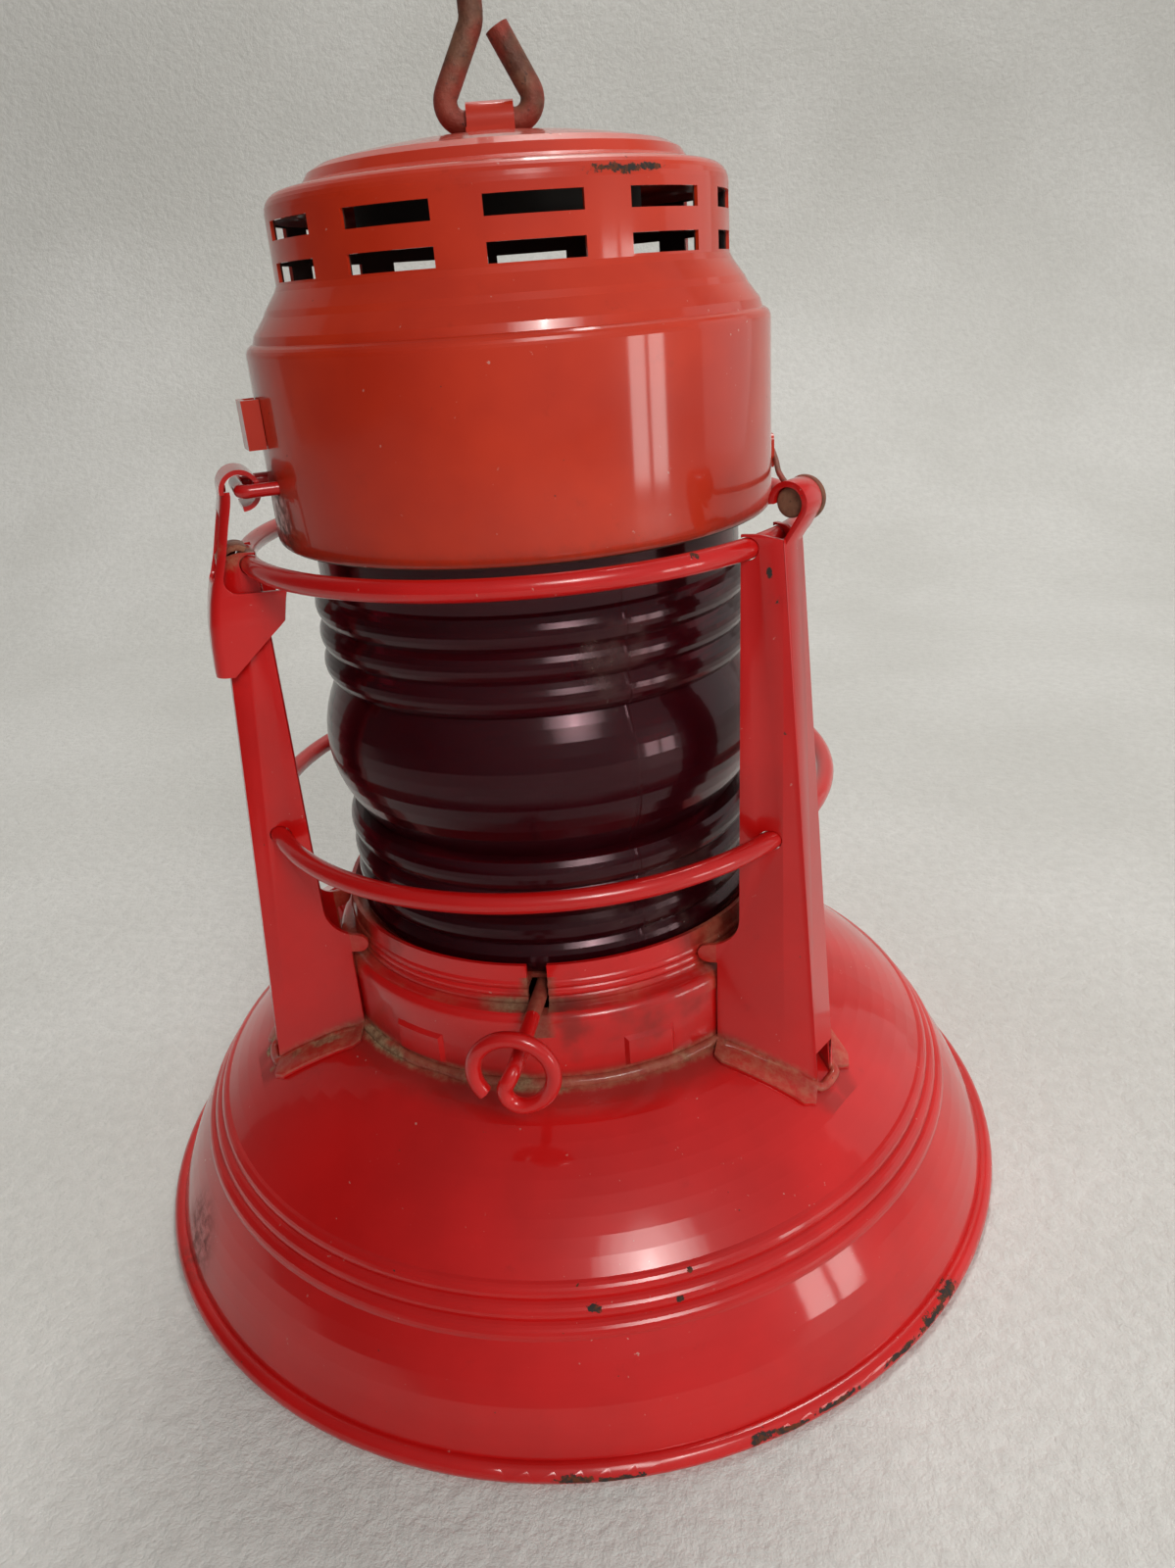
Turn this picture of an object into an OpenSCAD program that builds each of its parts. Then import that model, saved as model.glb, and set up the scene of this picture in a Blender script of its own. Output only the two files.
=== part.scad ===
// Kerosene warning lantern: bell fount, three channel posts with two guard rings, ruby globe,
// flat wick burner with a wire winder, hinged canopy with a hasp, and a wire hanger.
// Origin at the centre of the foot ring on the ground, +Z up, the wick winder towards -Y.
// Around the axis the hinge post stands at -30 degrees, the latch post at -150 and the rear post at 90.

/* [Fount] */
// Radius over the rolled foot rim
base_r = 100; // [96:1:106]
// Radius of the rolled foot rim's section
rim_r = 2; // [1.6:0.1:2.4]
// Depth of the flat that the foot rim stands on
rim_flat = 0.15; // [0.1:0.05:0.3]
// Thickness of the drawn sheet
sheet_t = 0.9; // [0.7:0.1:1.1]
// Height of the lowest crease above the ground
wall_h = 22; // [20:0.5:26]
// How far the lowest crease lies inside the rim radius
wall_lean = 12; // [10:0.5:14]
// How far the wall under the beads bulges from straight
wall_bulge = 0.8; // [0.2:0.1:1.5]
// Number of beads pressed round the shoulder
bead_n = 3; // [1:1:4]
// Width of one bead
bead_w = 3.45; // [3:0.05:3.8]
// Height of one bead
bead_rise = 0.75; // [0.4:0.05:1]
// Slope of the beaded zone in degrees
bead_slope = 55; // [50:1:60]
// Radius of the dome's arc above the beads
dome_arc = 75; // [70:1:82]
// Radius of the burner mouth in the top of the dome
mouth_r = 40; // [37:0.5:42]
// Height of the sealed bottom above the ground
floor_h = 3; // [2.5:0.1:3.4]

/* [Collar and gallery] */
// How far the collar stands outside the gallery
collar_out = 3.8; // [3.5:0.1:4.4]
// Height of the collar's top edge
collar_z = 65.2; // [64:0.2:66]
// Number of pads pressed out of the collar
pad_n = 6; // [3:3:6]
// Width of one pad in degrees
pad_arc = 13; // [10:1:18]
// Height of one pad
pad_h = 7.5; // [5:0.5:8]
// How far a pad stands out
pad_out = 0.8; // [0.4:0.1:1.2]
// How far the gallery stands outside the globe's ridges
gallery_out = 2.8; // [2.4:0.1:3.2]
// Height of the gallery above the collar
gallery_h = 9.4; // [8.5:0.1:10]
// Height of the gallery floor above the collar
seat_h = 5; // [4.6:0.1:5.4]
// Width of the slot for the winder
slot_w = 4; // [3.6:0.1:5]

/* [Burner] */
// Radius of the burner cup
cup_r = 22; // [20:0.5:24]
// Radius of the burner flange that covers the mouth
flange_r = 42.5; // [42.2:0.1:44]
// Thickness of the wick
wick_t = 2.4; // [2:0.1:2.8]
// Width of the wick
wick_w = 16.2; // [14:0.2:17]
// Length of the wick
wick_l = 70; // [50:1:72]
// How far the wick stands out of its tube
wick_out = 2.5; // [1:0.1:3]
// Height of the wick tube's top above the globe's seat
tube_up = 11.8; // [10:0.2:13.6]
// Height of the burner cone above its seat
cone_h = 18; // [16:0.5:20]
// Radius of the burner cone at its foot
cone_r = 19; // [17:0.5:19.5]
// Width of the flame slot
flame_w = 5; // [4.2:0.2:6]
// Clearance of the wick in its tube
wick_gap = 0.35; // [0.3:0.05:0.5]

/* [Winder] */
// Radius of the winder wire
winder_r = 1.5; // [1.3:0.1:1.7]
// Radius of the winder's finger ring, at the middle of the wire
finger_r = 7.3; // [6.8:0.1:8]
// Radius of the wheels that drive the wick
wheel_r = 2.95; // [2.6:0.05:3.1]
// Height of the winder shaft above the collar
shaft_h = 2.25; // [2.2:0.05:2.3]
// Distance of the finger ring from the lantern's axis
finger_reach = 70; // [68:1:74]
// Running clearance of shafts and pins
run_gap = 0.08; // [0.04:0.01:0.1]

/* [Posts and guard rings] */
// Distance from the upper guard wire out to the posts' webs
web_out = 5.6; // [5.4:0.1:6.2]
// How much further out the web stands at the foot
web_lean = 8.3; // [7.5:0.1:9]
// Height of the posts' tops above the skirt's lower edge
post_up = 0; // [-0.5:0.1:0.5]
// Width of a post's web
web_w = 6.4; // [6:0.1:6.8]
// Angle of each flange to the post's middle plane
flange_a = 24; // [20:1:28]
// Depth of a flange at the post's top
flange_l = 6.6; // [6.2:0.1:6.8]
// How far the flanges' lower edges reach inside the collar's radius
foot_lap = 0.4; // [0:0.1:0.5]
// Thickness of the post sheet
post_t = 1; // [0.8:0.1:1.2]
// Width of the soldered foot tabs
tab_w = 5.5; // [4:0.5:7]
// Radius of the guard wire
guard_r = 1.9; // [1.7:0.1:2]
// Distance from the skirt to the middle of the upper guard wire
guard_out = 6.6; // [6.2:0.1:7]
// How far the upper guard wire lies below the posts' tops
guard_down = 1.4; // [1:0.2:2]
// How much wider the lower guard wire's ring is than the upper one
guard_wider = 4.4; // [3.9:0.1:5.4]
// Height of the lower guard wire above the collar
guard_up = 30.8; // [26.8:1:34.8]
// Clearance of the guard wires in the posts
guard_gap = 0.15; // [0.1:0.05:0.2]

/* [Globe] */
// Radius over the globe's ridges
globe_r = 44.4; // [43.8:0.2:44.6]
// Radius over the bulge
bulge_r = 46.4; // [45.4:0.2:47]
// Height of the globe
globe_h = 86.6; // [86:0.2:87]
// Thickness of the glass
glass_t = 3; // [2.4:0.2:3.6]
// Pitch of the ridges
ridge_p = 6; // [5.6:0.1:6.2]
// Depth of the grooves between ridges
ridge_d = 1.3; // [0.8:0.1:1.6]
// Number of ridges under the bulge
low_ridges = 4; // [3:1:4]
// Number of ridges above the bulge
top_ridges = 3; // [2:1:4]
// Height of the bulge
bulge_h = 29; // [26:1:30]

/* [Canopy] */
// How far the skirt stands outside the globe's ridges
drum_gap = 4.6; // [4.2:0.2:5]
// How far the skirt reaches down over the globe
drum_lap = 4.95; // [4.45:0.1:5.45]
// Width of the pierced ring that holds the globe's top
holder_w = 12; // [10:0.5:14]
// Height of the skirt up to the shoulder
drum_h = 36; // [34:1:38]
// Height of the sloped shoulder
shoulder_h = 8; // [7:0.5:9]
// Radius of the slotted band
band_r = 41.7; // [40.5:0.1:43]
// Height of the slotted band
band_h = 12.4; // [12:0.2:14]
// Height of the crown above the band
crown_h = 10.4; // [9:0.2:12]
// Radius of the raised middle of the crown
crown_r = 33.5; // [30:0.5:35]
// Number of slots in a row
slot_n = 11; // [9:1:12]
// Width of a slot in degrees
slot_arc = 21.5; // [18:0.5:24]
// Height of a slot
slot_h = 3; // [2.4:0.1:3.6]
// Distance between the two rows of slots
slot_step = 6.5; // [5.6:0.1:7]
// Angle of the first slot
slot_start = -69.5; // [-80:0.5:-60]
// Radius of the draft baffle under the crown
baffle_r = 26; // [20:0.5:30]
// Height of the draft baffle
baffle_h = 11; // [8:0.5:13]

/* [Hinge] */
// How far the hinge pin stands outside the web's top
pin_out = 0.3; // [0:0.1:0.8]
// Height of the hinge pin above the posts' tops
pin_up = 6; // [5.6:0.1:6.6]
// Radius of the hinge pin
pin_r = 2.6; // [2.3:0.1:2.7]
// Width of the post's hinge curl
curl_w = 5; // [4.4:0.1:6]
// Width of the hinge knuckle on the canopy
knuckle_w = 4; // [3.5:0.1:4.4]
// Angle from the hinge post round to the leaf on the skirt
leaf_turn = 43; // [42:0.5:46]
// Width of the leaf in degrees
leaf_arc = 10; // [9:0.5:12]
// Height of the hinge leaf on the skirt
leaf_h = 12; // [10:1:16]

/* [Latch] */
// How far the staple's bar stands out of the skirt
staple_out = 5.8; // [5.4:0.1:6.2]
// Height of the staple above the skirt's lower edge
staple_up = 12; // [11.5:0.1:12.5]
// Radius of the staple wire
staple_r = 1.2; // [1:0.1:1.3]
// Distance between the staple's legs
staple_w = 15; // [14.5:0.5:16]
// Width of the hasp at its straps
hasp_w = 11.4; // [10.8:0.1:11.6]
// Width of the hasp's opening
hasp_open = 8.4; // [7.6:0.2:9]
// Length of the hasp below the staple
hasp_l = 33.5; // [30:0.5:38]
// Gap between hasp and post at the top of the plate
hasp_gap = 0.9; // [0.8:0.1:1.2]
// Gap between hasp and post at the tip
hasp_tip_gap = 1; // [0.8:0.1:1.4]
// Size of the lug on the skirt above the staple
lug_w = 6; // [4:0.5:8]
// Height of the lug
lug_h = 8.5; // [6:0.5:10]
// How far the lug stands out
lug_out = 3.2; // [2.5:0.1:4]

/* [Hanger] */
// Radius of the hanger wire
hanger_r = 2.15; // [1.9:0.05:2.3]
// Half length of the straight bar in the strap
bar_half = 4.4; // [4.3:0.1:5]
// Bend radius at the lower corners of the eye
eye_r = 3.3; // [3:0.1:4]
// Lean of the eye's legs in degrees
eye_lean = 28; // [26:1:32]
// How far the stem stands beside the middle of the bar
stem_off = 1.8; // [1:0.1:2]
// Length of the stem between the eye and the hook
stem_l = 46; // [30:1:80]
// Radius of the hook, at the middle of the wire
hook_r = 13; // [10:0.5:20]
// Height of the bar above the crown
bar_up = 2.55; // [2.5:0.05:3]
// Width of the strap
strap_w = 8.4; // [7:0.2:8.4]
// Clearance of the wire under the strap
strap_gap = 0.3; // [0.3:0.05:0.6]
// Angle that the hanger's bar lies at
hanger_az = 12; // [0:1:30]

/* [Filler] */
// Radius of the filler cap
cap_r = 11; // [10:0.5:12]
// Height of the filler cap
cap_h = 8; // [7.5:0.5:10]
// Distance of the filler outside the collar
filler_out = 15; // [13:0.5:16]
// Angle of the filler round the axis
filler_az = 158; // [150:1:162]

/* [Hidden] */
$fn = 72;

red = [0.78, 0.08, 0.07];
orange_red = [0.82, 0.20, 0.10];
rust = [0.42, 0.22, 0.16];
steel = [0.62, 0.60, 0.56];
brass_col = [0.72, 0.56, 0.28];
ruby = [0.25, 0.02, 0.04, 0.8];
cotton = [0.85, 0.80, 0.68];

// Distances from the axis, which follow the globe
gallery_r = globe_r + gallery_out;
collar_r = gallery_r + collar_out;
drum_r = globe_r + drum_gap;
guard_top_r = drum_r + guard_out;
guard_low_r = guard_top_r + guard_wider;
web_top_u = guard_top_r + web_out;
flange_in = web_top_u - flange_l;
foot_in = collar_r - foot_lap;
pin_u = web_top_u + pin_out;
staple_u = drum_r + staple_out;
filler_u = collar_r + filler_out;

// Heights, which follow the collar and the globe
seat_z = collar_z + seat_h;
tube_top = seat_z + tube_up;
globe_z = seat_z + 0.15;
globe_top = globe_z + globe_h;
drum_z = globe_top - drum_lap;
post_top = drum_z + post_up;
guard_top_z = post_top - guard_down;
guard_low_z = collar_z + guard_up;
pin_z = post_top + pin_up;
staple_z = drum_z + staple_up;
hasp_z = staple_z - hasp_l;

hinge_az = -30;
latch_az = -150;
rear_az = 90;
eps = 0.01;
seat_gap = 0.2;

// Points on an arc about c, from angle a0 to a1
function arc(c, r, a0, a1, n = 10) =
    [for (i = [0:n]) let (a = a0 + (a1 - a0) * i / n) c + r * [cos(a), sin(a)]];
// Points of a shallow arc from p to q that bulges by s to the left of its direction, without p itself
function bow(p, q, s, n = 8) =
    let (d = q - p, l = norm(d), v = [-d.y, d.x] / l)
    [for (i = [1:n]) let (k = i / n) p + d * k + v * s * 4 * k * (1 - k)];
// Unit normal to the left of a path at point i
function side(p, i) =
    let (a = p[max(i - 1, 0)], b = p[min(i + 1, len(p) - 1)], d = b - a) [-d.y, d.x] / norm(d);
// A path closed into a sheet of thickness t on its right
function sheet(p, t) =
    concat(p, [for (i = [len(p) - 1:-1:0]) let (q = p[i] - side(p, i) * t) [max(q.x, 0), q.y]]);

module lathe(points) rotate_extrude() polygon(points);
module ring_part(r0, r1, z0, z1) rotate_extrude() translate([r0, z0]) square([r1 - r0, z1 - z0]);
module wire(r, l) cylinder(r = r, h = l);
// A bend of a wire of radius r round bend radius R, starting on +X and turning by a
module bend(r, R, a) rotate_extrude(angle = a) translate([R, 0]) circle(r);
// The same bend a hair thinner, with both ends run on into the straight wire that it joins
bend_step = 0.03;
bend_lap = 0.25;
module joined_bend(r, R, a) let (lap = bend_lap / R * 180 / PI)
    rotate([0, 0, -lap]) bend(r - bend_step, R, a + 2 * lap);
// A (u, z) outline drawn in the radial plane at angle az, from w0 to w1 sideways
module slab(az, w0, w1) rotate([0, 0, az]) translate([0, w1, 0]) rotate([90, 0, 0])
    linear_extrude(height = w1 - w0) children();

// Outer profile of the fount, from the burner mouth down to the rim
crease_r = base_r - wall_lean;
bead_dir = [-cos(bead_slope), sin(bead_slope)];
shoulder = [crease_r, wall_h] + bead_dir * bead_w * bead_n;
dome_a = 44;
dome_c = shoulder - dome_arc * [cos(dome_a), sin(dome_a)];
mouth_a = acos((mouth_r - dome_c.x) / dome_arc);
mouth_z = dome_c.y + dome_arc * sin(mouth_a);
rim_c = [base_r - rim_r, rim_r - rim_flat];
bead_pts = [for (i = [bead_n - 1:-1:0])
    each bow([crease_r, wall_h] + bead_dir * bead_w * (i + 1), [crease_r, wall_h] + bead_dir * bead_w * i,
        bead_rise, 6)];
fount_path = concat(arc(dome_c, dome_arc, mouth_a, dome_a, 14), bead_pts,
    bow([crease_r, wall_h], rim_c, wall_bulge, 6));
function dome_z(r) = dome_c.y + sqrt(dome_arc * dome_arc - (r - dome_c.x) * (r - dome_c.x));

// The dome as a solid grown by g, for whatever sits on it
module dome_body(g) lathe(concat([[0, 0], [0, mouth_z + g], [mouth_r - 2, mouth_z + g]],
    [for (p = arc(dome_c, dome_arc + g, mouth_a, dome_a, 14)) p], [[crease_r + g, 0]]));
// A layer that lies on the dome, from g to g + t above it
module dome_layer(g, t) difference() { dome_body(g + t); dome_body(g); }

module fount_dome() color(red) difference() {
    union() {
        lathe(sheet(fount_path, sheet_t));
        rotate_extrude() translate(rim_c) circle(rim_r);
    }
    translate([0, 0, -rim_r]) cylinder(r = base_r + 1, h = rim_r);
    filler_axis() translate([0, 0, -cap_h]) cylinder(r = neck_r - sheet_t + seat_gap, h = cap_h * 2);
}

pan_r = rim_c.x - rim_r - 0.25;
module fount_bottom() color(red) union() {
    translate([0, 0, floor_h]) cylinder(r = pan_r, h = sheet_t);
    ring_part(pan_r - sheet_t, pan_r, floor_h - 1.6, floor_h + eps);
}

// Collar soldered round the mouth, with pads pressed out of it
pad_z = collar_z - 5.2 - pad_h;
module fount_collar() color(red) difference() {
    union() {
        ring_part(collar_r - sheet_t, collar_r, dome_z(collar_r) - 2, collar_z);
        ring_part(gallery_r + 0.5, collar_r - sheet_t / 2, collar_z - sheet_t, collar_z);
        for (i = [0:pad_n - 1]) rotate([0, 0, i * 360 / pad_n - pad_arc / 2])
            rotate_extrude(angle = pad_arc) translate([collar_r - sheet_t, pad_z])
                square([sheet_t + pad_out, pad_h]);
    }
    dome_body(seat_gap / 2);
    winder_cut(collar_z - sheet_t - 0.6);
}

// Slot through collar lip or gallery in front of the shaft
shaft_z = collar_z + shaft_h;
shaft_x = wheel_r + wick_t / 2 + 0.4;
module winder_cut(z0) translate([shaft_x - slot_w / 2, -collar_r - 2, z0]) cube([slot_w, 10, 30]);

// Beaded gallery ring with a pierced floor on which the globe stands
gallery_z = collar_z + gallery_h;
air_r = cup_r + 9;
gal_bead = 0.35;
gal_pitch = 1.8;
gal_top = seat_z + 1;
gal_path = concat([[gallery_r, gallery_z], [gallery_r + 0.2, gal_top]], [for (i = [0:2])
    each bow([gallery_r + 0.2, gal_top - i * gal_pitch], [gallery_r + 0.2, gal_top - (i + 1) * gal_pitch],
        gal_bead, 6)]);
module burner_gallery() color(red) difference() {
    union() {
        lathe(sheet(gal_path, sheet_t));
        ring_part(cone_r - 2, gallery_r, seat_z - sheet_t, seat_z);
    }
    winder_cut(collar_z - 1);
    for (i = [0:23]) rotate([0, 0, i * 15 + 7.5]) translate([air_r, 0, seat_z - 2]) cylinder(r = 1.6, h = 4);
    for (i = [0:23]) rotate([0, 0, i * 15]) translate([air_r + 6, 0, seat_z - 2]) cylinder(r = 1.6, h = 4);
}

// Burner cup with a flange over the mouth, bored for the shaft
flange_z = mouth_z + 0.3;
tube_in = [wick_t + 2 * wick_gap, wick_w + 2 * wick_gap];
tube_t = 0.7;
module tube_hole(g) translate([0, 0, flange_z - 10]) linear_extrude(height = 40)
    square([tube_in.x + 2 * tube_t + 2 * g, tube_in.y + 2 * tube_t + 2 * g], center = true);
module burner_body() color(brass_col) difference() {
    union() {
        ring_part(cup_r - sheet_t, cup_r, flange_z, seat_z - sheet_t - seat_gap);
        translate([0, 0, flange_z]) cylinder(r = flange_r, h = sheet_t);
        translate([shaft_x, cup_r - sheet_t, shaft_z]) rotate([90, 0, 0]) translate([0, 0, -1.4])
            cylinder(r = winder_r + 1.4, h = 3);
        translate([shaft_x, -cup_r + 2.6, shaft_z]) rotate([90, 0, 0]) cylinder(r = winder_r + 1.4, h = 5);
    }
    tube_hole(0.15);
    translate([shaft_x, 0, shaft_z]) rotate([90, 0, 0]) translate([0, 0, -cup_r])
        cylinder(r = winder_r + run_gap, h = cup_r * 2 + 4);
    translate([0, 0, seat_z - sheet_t - seat_gap]) cylinder(r = cup_r + 5, h = 5);
    for (i = [0:17]) rotate([0, 0, i * 20 + 10]) translate([air_r, 0, flange_z - 1]) cylinder(r = 2, h = 4);
}

tube_low = mouth_z - 6.4;
module wick_tube() color(brass_col) difference() {
    translate([0, 0, tube_low]) linear_extrude(height = tube_top - tube_low)
        square([tube_in.x + 2 * tube_t, tube_in.y + 2 * tube_t], center = true);
    translate([0, 0, tube_low - 1]) linear_extrude(height = tube_top - tube_low + 2)
        square(tube_in, center = true);
    translate([0, -wick_w / 2 + 0.6, shaft_z - wheel_r - 0.6])
        cube([wheel_r * 3, wick_w - 1.2, 2 * wheel_r + 1.2]);
}

module cone_shape(t) let (r = cone_r - t, z0 = seat_z + seat_gap, k = 0.3)
    lathe(concat([[0, z0 - t], [r, z0 - t], [r, z0 + cone_h * k]],
        [for (i = [1:9]) let (a = i * 10) [r * cos(a), z0 + cone_h * k + (cone_h * (1 - k) - t) * sin(a)]]));
module burner_cone() color(brass_col) difference() {
    cone_shape(0);
    cone_shape(sheet_t);
    translate([-flame_w / 2, -wick_w / 2 - 1, tube_top]) cube([flame_w, wick_w + 2, 20]);
    for (i = [0:15]) rotate([0, 0, i * 22.5]) translate([cone_r - 3, 0, seat_z + 3]) rotate([0, 90, 0])
        cylinder(r = 1.2, h = 5);
}

wick_top = tube_top + wick_out;
module wick() color(cotton) translate([-wick_t / 2, -wick_w / 2, wick_top - wick_l])
    cube([wick_t, wick_w, wick_l]);

// One wire: the shaft, a crank inside the ring, and the finger ring round the shaft's line
knee_r = finger_r * (sqrt(2) - 1);
knee_a = 45;
tail_a = -120;
ring_turn = 292;
shaft_end = cup_r - sheet_t - 0.5;
module wick_winder() color(red) translate([shaft_x, -finger_reach, shaft_z]) rotate([90, 0, 0]) union() {
    translate([0, 0, -finger_reach - shaft_end]) wire(winder_r, finger_reach + shaft_end - knee_r);
    rotate([0, 0, tail_a]) {
        translate([knee_r, 0, -knee_r]) rotate([90, 0, 180]) joined_bend(winder_r, knee_r, 90);
        translate([knee_r, knee_r, 0]) rotate([0, 0, -90]) bend(winder_r, knee_r, 90 + knee_a);
        rotate([0, 0, knee_a]) joined_bend(winder_r, finger_r, ring_turn);
    }
}

module wick_wheels() color(steel) for (y = [-5, 0, 5]) translate([shaft_x, y, shaft_z]) rotate([90, 0, 0])
    difference() {
        cylinder(r = wheel_r, h = 1.4, center = true);
        cylinder(r = winder_r + 0.05, h = 3, center = true);
        for (i = [0:9]) rotate([0, 0, i * 36]) translate([wheel_r, 0, 0]) cylinder(r = 0.5, h = 3, center = true);
    }

// Sheet post: (u, z) are the distance from the axis and the height on a flange's outer face
web_m = web_lean / (post_top - 40);
function web_u(z) = web_top_u + web_m * (post_top - z);
// Turns (u, z) on a leaning flange into the coordinates of its own plane
function on_plate(p, o, m) = [
    (o.x - p.x - m * pow(sin(flange_a), 2) * (p.y - o.y)) / cos(flange_a),
    (p.y - o.y) * sqrt(1 + pow(m * sin(flange_a), 2))];
// A plate whose outer face holds the line that starts at o = [u, z], w0 sideways, and leans by m
module plate(pts, o, w0, m, t) translate([o.x, w0, o.y])
    rotate([90 - atan(m * sin(flange_a)), 0, 180 - flange_a]) translate([0, 0, -t])
        linear_extrude(height = t) polygon([for (p = pts) on_plate(p, o, m)]);

nib_z = collar_z + 3.2;
nib_h = 3.8;
nib_in = 1.7;
crook_r = 6;
flange_pts = concat(
    [[web_u(30), 30], [web_u(post_top), post_top], [flange_in + 3, post_top + 1], [flange_in, post_top + 1]],
    arc([flange_in - crook_r, nib_z + nib_h + crook_r], crook_r, 0, -90, 6),
    [[foot_in - nib_in, nib_z + nib_h]],
    arc([foot_in - nib_in, nib_z + nib_h / 2], nib_h / 2, 90, 270, 6),
    [[foot_in, nib_z], [foot_in, 30]]);
web_o = [web_u(post_top), post_top];
module flange() plate(flange_pts, web_o, web_w / 2, web_m, post_t);

// Sideways place of the flange face at distance u from the axis, at height z
function flange_w(u, z) = web_w / 2 + tan(flange_a) * (web_u(z) - u);
tab_out = [web_u(41), flange_w(web_u(41), 41)];
tab_in = [foot_in, flange_w(foot_in, 52)];
tab_n = [sin(flange_a), cos(flange_a)] * tab_w;
module foot_tab() intersection() {
    dome_layer(seat_gap / 2, post_t);
    linear_extrude(height = 80) polygon([tab_out - tab_n * 0.15, tab_in - tab_n * 0.15, tab_in + tab_n * 0.8,
        tab_in + tab_n + [1.5, -0.8], tab_out + tab_n + [-2, 1], tab_out + tab_n * 0.75]);
}

web_foot = 49;
web_low = [web_u(web_foot), web_foot];
web_high = [web_u(post_top), post_top];
web_pts = [web_low, web_high, web_high - [post_t, 0], web_low - [post_t, 0]];

// Common body of the three posts, standing at angle 0
module post_body() difference() {
    union() {
        slab(0, -web_w / 2, web_w / 2) polygon(web_pts);
        flange();
        mirror([0, 1, 0]) flange();
    }
    dome_body(seat_gap / 2);
    guard_wire(guard_top_r, guard_top_z, guard_r + guard_gap);
    guard_wire(guard_low_r, guard_low_z, guard_r + guard_gap);
}
module post_feet() { foot_tab(); mirror([0, 1, 0]) foot_tab(); }

// The hinge post's top is a tongue that leans out and curls over the pin
pin_c = [pin_u, pin_z];
curl_in = pin_r + run_gap;
curl_out = curl_in + post_t;
curl_a0 = -35;
curl_a1 = 185;
module hinge_post() color(red) rotate([0, 0, hinge_az]) {
    post_body();
    post_feet();
    slab(0, -curl_w / 2, curl_w / 2) polygon(concat([web_high - [0, 1]], arc(pin_c, curl_out, curl_a0, curl_a1, 22),
        arc(pin_c, curl_in, curl_a1, curl_a0, 22), [web_high - [post_t, 1]]));
}

// The latch post's top is curled in to a rounded ear
ear_r = 3.6;
ear_a = 125;
ear_c = [web_high.x - ear_r, post_top - 1.4];
module latch_post() color(red) rotate([0, 0, latch_az]) {
    post_body();
    post_feet();
    slab(0, -web_w / 2, web_w / 2)
        polygon(concat([web_high - [0, 2]], arc(ear_c, ear_r, 0, ear_a, 12), arc(ear_c, ear_r - post_t, ear_a, 0, 12),
            [web_high - [post_t, 2]]));
}

module rear_post() color(red) rotate([0, 0, rear_az]) {
    post_body();
    post_feet();
}

module guard_wire(R, z, r) translate([0, 0, z]) rotate_extrude() translate([R, 0]) circle(r);
module upper_guard_ring() color(red) guard_wire(guard_top_r, guard_top_z, guard_r);
module lower_guard_ring() color(red) guard_wire(guard_low_r, guard_low_z, guard_r);

// Globe profile: ridges, bulge, ridges and a plain neck
groove_r = globe_r - ridge_d;
bulge_z = globe_z + low_ridges * ridge_p + 0.8;
top_z0 = bulge_z + bulge_h;
neck_z = top_z0 + top_ridges * ridge_p;
function ridges(z0, n) = [for (i = [0:n - 1])
    each bow([groove_r, z0 + i * ridge_p], [groove_r, z0 + (i + 1) * ridge_p], -ridge_d, 6)];
globe_out = concat([[groove_r - 0.6, globe_z], [groove_r, globe_z + 0.4]], ridges(globe_z + 0.4, low_ridges),
    [[groove_r - 2.4, bulge_z]],
    bow([groove_r - 2.4, bulge_z], [groove_r - 1, top_z0], groove_r - 1.7 - bulge_r, 12),
    [[groove_r, top_z0]], ridges(top_z0, top_ridges),
    [[groove_r - 0.6, neck_z + 0.6], [groove_r - 0.6, globe_top]]);
globe_in = concat([[groove_r - 1 - glass_t, globe_z], [groove_r - 1 - glass_t, bulge_z - 2],
    [groove_r - 2.4 - glass_t, bulge_z]],
    bow([groove_r - 2.4 - glass_t, bulge_z], [groove_r - 1 - glass_t, top_z0], groove_r - 1.7 - bulge_r, 12),
    [[groove_r - 1 - glass_t, globe_top]]);
module globe() color(ruby) lathe(concat(globe_out, [for (i = [len(globe_in) - 1:-1:0]) globe_in[i]]));

// Hinge pin along the tangent at the hinge post, with a head in front and peened flush behind
side_gap = 0.3;
head_t = 0.8;
knuckle_w0 = curl_w / 2 + side_gap;
knuckle_w1 = knuckle_w0 + knuckle_w;
module pin_part(w0, w1, r) translate([pin_u, w1, pin_z]) rotate([90, 0, 0]) cylinder(r = r, h = w1 - w0);
module hinge_pin() color(rust) rotate([0, 0, hinge_az]) {
    pin_part(-knuckle_w0, knuckle_w1, pin_r);
    pin_part(-knuckle_w0 - head_t, -knuckle_w0, pin_r + 0.4);
}

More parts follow.
